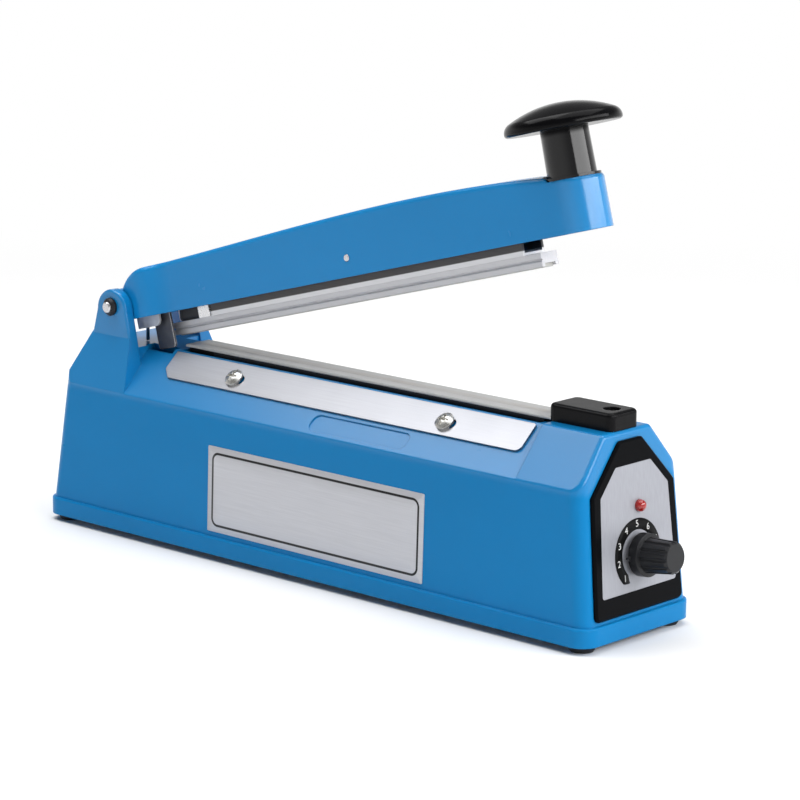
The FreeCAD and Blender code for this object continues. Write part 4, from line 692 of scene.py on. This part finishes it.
def label_plate():
    """Thin foil plate: its rounded outline is carried up its edge, over a small bevel and in to the
    middle line, as rings of one grid, then laid on the drafted near wall."""
    outline = rounded_outline(LABEL_LENGTH, LABEL_HEIGHT, LABEL_CORNER)
    inner = rounded_outline(LABEL_LENGTH - 2 * LABEL_EDGE, LABEL_HEIGHT - 2 * LABEL_EDGE,
                            LABEL_CORNER - LABEL_EDGE)
    spine_half = (LABEL_LENGTH - LABEL_HEIGHT) / 2
    spine = np.stack([np.clip(inner[:, 0], -spine_half, spine_half), np.zeros(len(inner))], axis=1)
    rings = [(outline, LABEL_GAP), (outline, LABEL_THICKNESS - LABEL_EDGE), (inner, LABEL_THICKNESS),
             ((inner + spine) / 2, LABEL_THICKNESS), (spine, LABEL_THICKNESS)]
    flat = np.stack([ring for ring, _ in rings])
    lift = np.stack([np.full(len(ring), height) for ring, height in rings])
    up = flat[..., 1] + LABEL_MIDDLE_UP
    x = flat[..., 0] + LABEL_MIDDLE_X
    y = -SIDE_FOOT + up * math.sin(SIDE_DRAFT) - lift * math.cos(SIDE_DRAFT)
    z = RIM_TOP + up * math.cos(SIDE_DRAFT) + lift * math.sin(SIDE_DRAFT)
    made = surface("label_plate", np.stack([x, y, z], axis=-1) * MM, ("flat", flat * MM), around=True)
    made.data.materials.append(label_foil().material)
    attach(made, "base")


def on_panel(flat, lift):
    """Points of the leaning front panel: (across, up) from the dial's middle, and height off the wall."""
    out = np.array([math.cos(FRONT_LEAN), 0, math.sin(FRONT_LEAN)])
    rise = np.array([-math.sin(FRONT_LEAN), 0, math.cos(FRONT_LEAN)])
    side = np.array([0, 1, 0])
    return (DIAL_PLACE + flat[..., :1] * side + flat[..., 1:2] * rise + lift[..., None] * out) * MM


def dial_scale():
    """Printed ring: a flat four-cornered section carried round an arc clockwise from the lower left,
    whose width grows from a point at the start."""
    swept = np.linspace(0, DIAL_SWEEP, DIAL_STEPS)[:, None]
    turn = np.radians(DIAL_START - swept)
    share = np.clip(swept / DIAL_POINT, DIAL_TIP, 1)
    half = (DIAL_OUTER - DIAL_INNER) / 2
    radius = DIAL_MIDDLE + half * share * np.array([[-1.0, 1.0, 1.0, -1.0]])
    lift = np.ones_like(turn) * (DIAL_FACE + np.array([[DIAL_GAP, DIAL_GAP, DIAL_INK, DIAL_INK]]))
    flat = np.stack([radius * np.cos(turn), radius * np.sin(turn)], axis=-1)
    made = surface("dial_scale", on_panel(flat, lift), around=True)
    made.data.materials.append(dial_ink("dial_black", paint(10, 10, 11)).material)
    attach(made, "base")


def digit_mesh(digit):
    """A digit as a thin letter's mesh, centred on the origin."""
    letter = bpy.data.curves.new("digit", "FONT")
    letter.body = digit
    letter.size = DIGIT_SIZE
    letter.align_x = "CENTER"
    letter.align_y = "CENTER"
    letter.extrude = DIGIT_RAISE / 2
    letter.resolution_u = DIGIT_CURVE_STEPS
    source = bpy.data.objects.new("digit", letter)
    bpy.context.scene.collection.objects.link(source)
    mesh = bpy.data.meshes.new_from_object(source)
    bpy.data.objects.remove(source)
    return mesh


def dial_digits():
    """White digits evenly spaced round the printed ring, as thin letters laid on the panel."""
    ink = dial_ink("dial_white", paint(222, 222, 222)).material
    for i, digit in enumerate(DIGITS):
        mesh = digit_mesh(digit)
        flat = np.zeros(len(mesh.vertices) * 3, np.float32)
        mesh.vertices.foreach_get("co", flat)
        flat = flat.reshape(-1, 3).astype(float)
        turn = math.radians(DIGIT_START - DIGIT_STEP * i)
        flat[:, :2] += DIAL_MIDDLE * np.array([math.cos(turn), math.sin(turn)])
        points = on_panel(flat[:, :2], DIAL_FACE + DIAL_INK + DIGIT_RAISE / 2 + flat[:, 2])
        mesh.vertices.foreach_set("co", points.astype(np.float32).ravel())
        mesh.materials.clear()
        mesh.materials.append(ink)
        made = bpy.data.objects.new("dial_digit_" + digit, mesh)
        bpy.context.scene.collection.objects.link(made)
        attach(made, "base")


def cloth_path(half, top):
    """Path across the rail, as (across, up): skirt, quarter round, straight run, quarter round and skirt,
    raised over the ribbon by a smooth step."""
    turn = np.linspace(np.pi, np.pi / 2, CLOTH_CORNER_POINTS)
    left = np.stack([-half + CLOTH_CORNER + CLOTH_CORNER * np.cos(turn),
                     top - CLOTH_CORNER + CLOTH_CORNER * np.sin(turn)], axis=1)
    run = np.linspace(-half + CLOTH_CORNER, half - CLOTH_CORNER, CLOTH_TOP_POINTS)[1:-1]
    middle = np.stack([run, np.full_like(run, top)], axis=1)
    mirror = np.array([-1, 1])
    skirt = np.array([[-half, top - CLOTH_SKIRT]])
    path = np.concatenate([skirt, left, middle, left[::-1] * mirror, skirt * mirror])
    edge = np.clip((RIBBON_HALF + RIBBON_EASE - np.abs(path[:, 0])) / RIBBON_EASE, 0, 1)
    path[:, 1] += RIBBON_RAISE * edge * edge * (3 - 2 * edge)
    return path


def cloth_strip(finish):
    """Cloth stretched over the rail: its path across is carried along the rail with a faint ripple, the
    product of two slow waves, on its top."""
    low, high = (np.array(corner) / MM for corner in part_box("sealing_cloth"))
    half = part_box("sealing_rail")[1][1] / MM + CLOTH_THICKNESS
    path = cloth_path(half, high[2] - CLOTH_THICKNESS / 2 - RIBBON_RAISE)
    along = np.linspace(low[0], high[0], CLOTH_STEPS)[:, None]
    on_top = np.abs(path[:, 0]) < half - RIPPLE_MARGIN
    ripple = RIPPLE_DEPTH * np.sin(along / RIPPLE_SHORT) * np.sin(along / RIPPLE_LONG) * on_top
    x = along + 0 * path[:, 0]
    y = path[:, 0] + 0 * along
    z = path[:, 1] - np.abs(ripple)
    length = np.concatenate([[0], np.cumsum(np.hypot(*np.diff(path, axis=0).T))])
    width = float(length[-1])
    over = length - width / 2 + 0 * along
    made = surface("cloth_strip", np.stack([x, y, z], axis=-1) * MM,
                   ("cloth", np.stack([x, over], axis=-1) * MM))
    thicken(made, CLOTH_THICKNESS)
    made.data.materials.append(finish.material)
    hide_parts("sealing_cloth")
    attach(made, "base")


def return_spring(finish):
    """Spring wire: a round section carried up a straight leg, round a steady helix about the hinge pin
    and out along a straight leg under the arm, closed by a ring of no radius at either end."""
    whole = 2 * np.pi * (SPRING_TURNS + SPRING_PART_TURN) + OPEN_ANGLE
    turn = np.linspace(0, whole, SPRING_TURN_STEPS * SPRING_TURNS)
    advance = (SPRING_FRONT - SPRING_REAR) / whole
    x = SPRING_COIL * np.cos(turn)
    z = SPRING_COIL * np.sin(turn)
    helix = np.stack([x, SPRING_REAR + advance * turn, z], axis=1)
    winding = np.stack([-z, advance + 0 * turn, x], axis=1)
    winding /= np.linalg.norm(winding, axis=1, keepdims=True)
    foot = (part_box("return_spring")[0][2] - HINGE.z) / MM
    upright = np.array([[0.0, 0.0, 1.0]])
    outward = np.array([[math.cos(OPEN_ANGLE), 0.0, math.sin(OPEN_ANGLE)]])
    # Shares of a leg from its free end inwards; the end comes twice, for its closing ring.
    leg = np.array([[1.0], [1.0], [0.5]])
    first = helix[0] + foot * leg * upright
    last = helix[-1] + SPRING_LEG * leg[::-1] * outward
    path = np.concatenate([first, helix, last])
    heading = np.concatenate([np.repeat(upright, len(leg), axis=0), winding,
                              np.repeat(outward, len(leg), axis=0)])
    swing = np.concatenate([np.zeros(len(leg)), turn, np.full(len(leg), whole)])
    out = np.stack([np.cos(swing), 0 * swing, np.sin(swing)], axis=1)
    side = np.cross(heading, out)
    radius = np.full(len(path), SPRING_WIRE)
    radius[[0, -1]] = 0
    round_wire = np.linspace(0, 2 * np.pi, WIRE_SIDES, endpoint=False)[None, :, None]
    section = np.cos(round_wire) * out[:, None] + np.sin(round_wire) * side[:, None]
    points = (path[:, None] + radius[:, None, None] * section) * MM + np.array(HINGE)
    made = surface("torsion_spring", points, around=True)
    made.data.materials.append(finish.material)
    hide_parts("return_spring")
    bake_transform(made)


def on_arm(along, across, up):
    """Points of the lifted arm: along it from the hinge, across it and off the hinge's level."""
    x = along * math.cos(OPEN_ANGLE) - up * math.sin(OPEN_ANGLE)
    z = along * math.sin(OPEN_ANGLE) + up * math.cos(OPEN_ANGLE)
    return np.stack([x, across + 0 * x, z], axis=-1) * MM + np.array(HINGE)


def carrier_tail(finish):
    """Rear tongue of the carrier: a U-shaped path of two cheeks, quarter rounds and a floor, carried along
    the arm with its rear edge slanted forward as it rises."""
    turn = np.linspace(np.pi, 1.5 * np.pi, TAIL_CORNER_POINTS)
    corner = np.stack([-TAIL_HALF + TAIL_CORNER * (1 + np.cos(turn)),
                       TAIL_LOW + TAIL_CORNER * (1 + np.sin(turn))], axis=1)
    rise = np.linspace(TAIL_HIGH, TAIL_LOW + TAIL_CORNER, TAIL_CHEEK_POINTS)[:-1]
    cheek = np.stack([np.full_like(rise, -TAIL_HALF), rise], axis=1)
    left = np.concatenate([cheek, corner])
    path = np.concatenate([left, left[::-1] * np.array([-1, 1])])
    share = np.linspace(0, 1, TAIL_STEPS)[:, None]
    rear = TAIL_REAR + TAIL_SLANT * (path[:, 1] - TAIL_LOW) / (TAIL_HIGH - TAIL_LOW)
    along = rear + (TAIL_FRONT - rear) * share
    made = surface("carrier_tail", on_arm(along, path[:, 0], path[:, 1] + 0 * along))
    thicken(made, TAIL_SHEET)
    made.data.materials.append(finish.material)
    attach(made, "press_bar")


def camera():
    """A camera on its fitted place: turned by azimuth and elevation, rolled, and aimed off the middle."""
    azimuth, elevation, roll = (math.radians(x) for x in (CAMERA_AZIMUTH, CAMERA_ELEVATION, CAMERA_ROLL))
    back = Vector((math.sin(azimuth) * math.cos(elevation), -math.cos(azimuth) * math.cos(elevation),
                   math.sin(elevation)))
    level = Vector((math.cos(azimuth), math.sin(azimuth), 0))
    upright = back.cross(level)
    right = level * math.cos(roll) + upright * math.sin(roll)
    up = upright * math.cos(roll) - level * math.sin(roll)
    aim = Vector((0, 0, CAMERA_AIM_HEIGHT)) + right * CAMERA_AIM_RIGHT + up * CAMERA_AIM_UP
    data = bpy.data.cameras.new("camera")
    data.sensor_width = CAMERA_SENSOR
    data.lens = CAMERA_LENS
    data.clip_end = CAMERA_REACH
    made = bpy.data.objects.new("camera", data)
    bpy.context.scene.collection.objects.link(made)
    turn = Matrix((right, up, back)).transposed()
    made.matrix_world = Matrix.Translation(aim + back * CAMERA_DISTANCE) @ turn.to_4x4()
    bpy.context.scene.camera = made


def softbox(name, place, aim, size, power):
    """A rectangular light at a place, turned to its aim."""
    data = bpy.data.lights.new(name, "AREA")
    data.shape = "RECTANGLE"
    data.size, data.size_y = size
    data.energy = power
    made = bpy.data.objects.new(name, data)
    made.location = place
    made.rotation_euler = (Vector(aim) - Vector(place)).to_track_quat("-Z", "Y").to_euler()
    bpy.context.scene.collection.objects.link(made)


def surroundings():
    """White surroundings that dim towards the ceiling; the weak fill that lights matt surfaces is even."""
    world = bpy.data.worlds.new("studio")
    world.use_nodes = True
    sky = NodeTree(world.node_tree)
    sky.tree.nodes.remove(sky.tree.nodes["Background"])
    rise = sky.part(sky.node("ShaderNodeTexCoord", output="Generated"), "Z")
    dimmed = rise.ramp(CEILING_FROM, CEILING_FULL, first=1.0, last=CEILING)
    fill = sky.node("ShaderNodeBackground", {}, {"Color": WHITE, "Strength": AMBIENT})
    shown = sky.node("ShaderNodeBackground", {}, {"Color": WHITE, "Strength": dimmed})
    both = sky.node("ShaderNodeMixShader", {}, {0: sky.background_rays(), 1: fill, 2: shown})
    sky.join(both, sky.tree.nodes["World Output"].inputs["Surface"])
    bpy.context.scene.world = world


def floor():
    """Pale floor with the object's soft shadow, which turns to plain white far from the object."""
    span = np.linspace(-FLOOR_REACH, FLOOR_REACH, FLOOR_POINTS)
    across, along = np.meshgrid(span, span)
    made = surface("floor", np.stack([across, along, 0 * across], axis=-1))
    finish = Finish("floor_white", Roughness=0.8, Specular_IOR_Level=0.1)
    clouds = finish.noise(size=300)
    finish.feed("Base Color", finish.mix(clouds, paint(247, 247, 247), paint(249, 249, 249)))
    away = finish.node("ShaderNodeVectorMath", {"operation": "LENGTH"}, {0: finish.place()}, "Value")
    far = away.ramp(FLOOR_PLAIN, FLOOR_WHITE) * finish.background_rays()
    shaded = Value(finish, finish.shader.outputs[0])
    plain = finish.node("ShaderNodeEmission", {}, {"Color": WHITE, "Strength": 1.0})
    both = finish.node("ShaderNodeMixShader", {}, {0: far, 1: shaded, 2: plain})
    finish.join(both, finish.tree.nodes["Material Output"].inputs["Surface"])
    made.data.materials.append(finish.material)


bpy.context.scene.view_settings.view_transform = "Standard"
finish_of = finishes()
dress(finish_of)
label_plate()
dial_scale()
dial_digits()
cloth_strip(finish_of["cloth_white"])
return_spring(finish_of["spring_steel"])
carrier_tail(finish_of["tail_dark"])
surroundings()
for light in SOFTBOXES:
    softbox(*light)
floor()
camera()
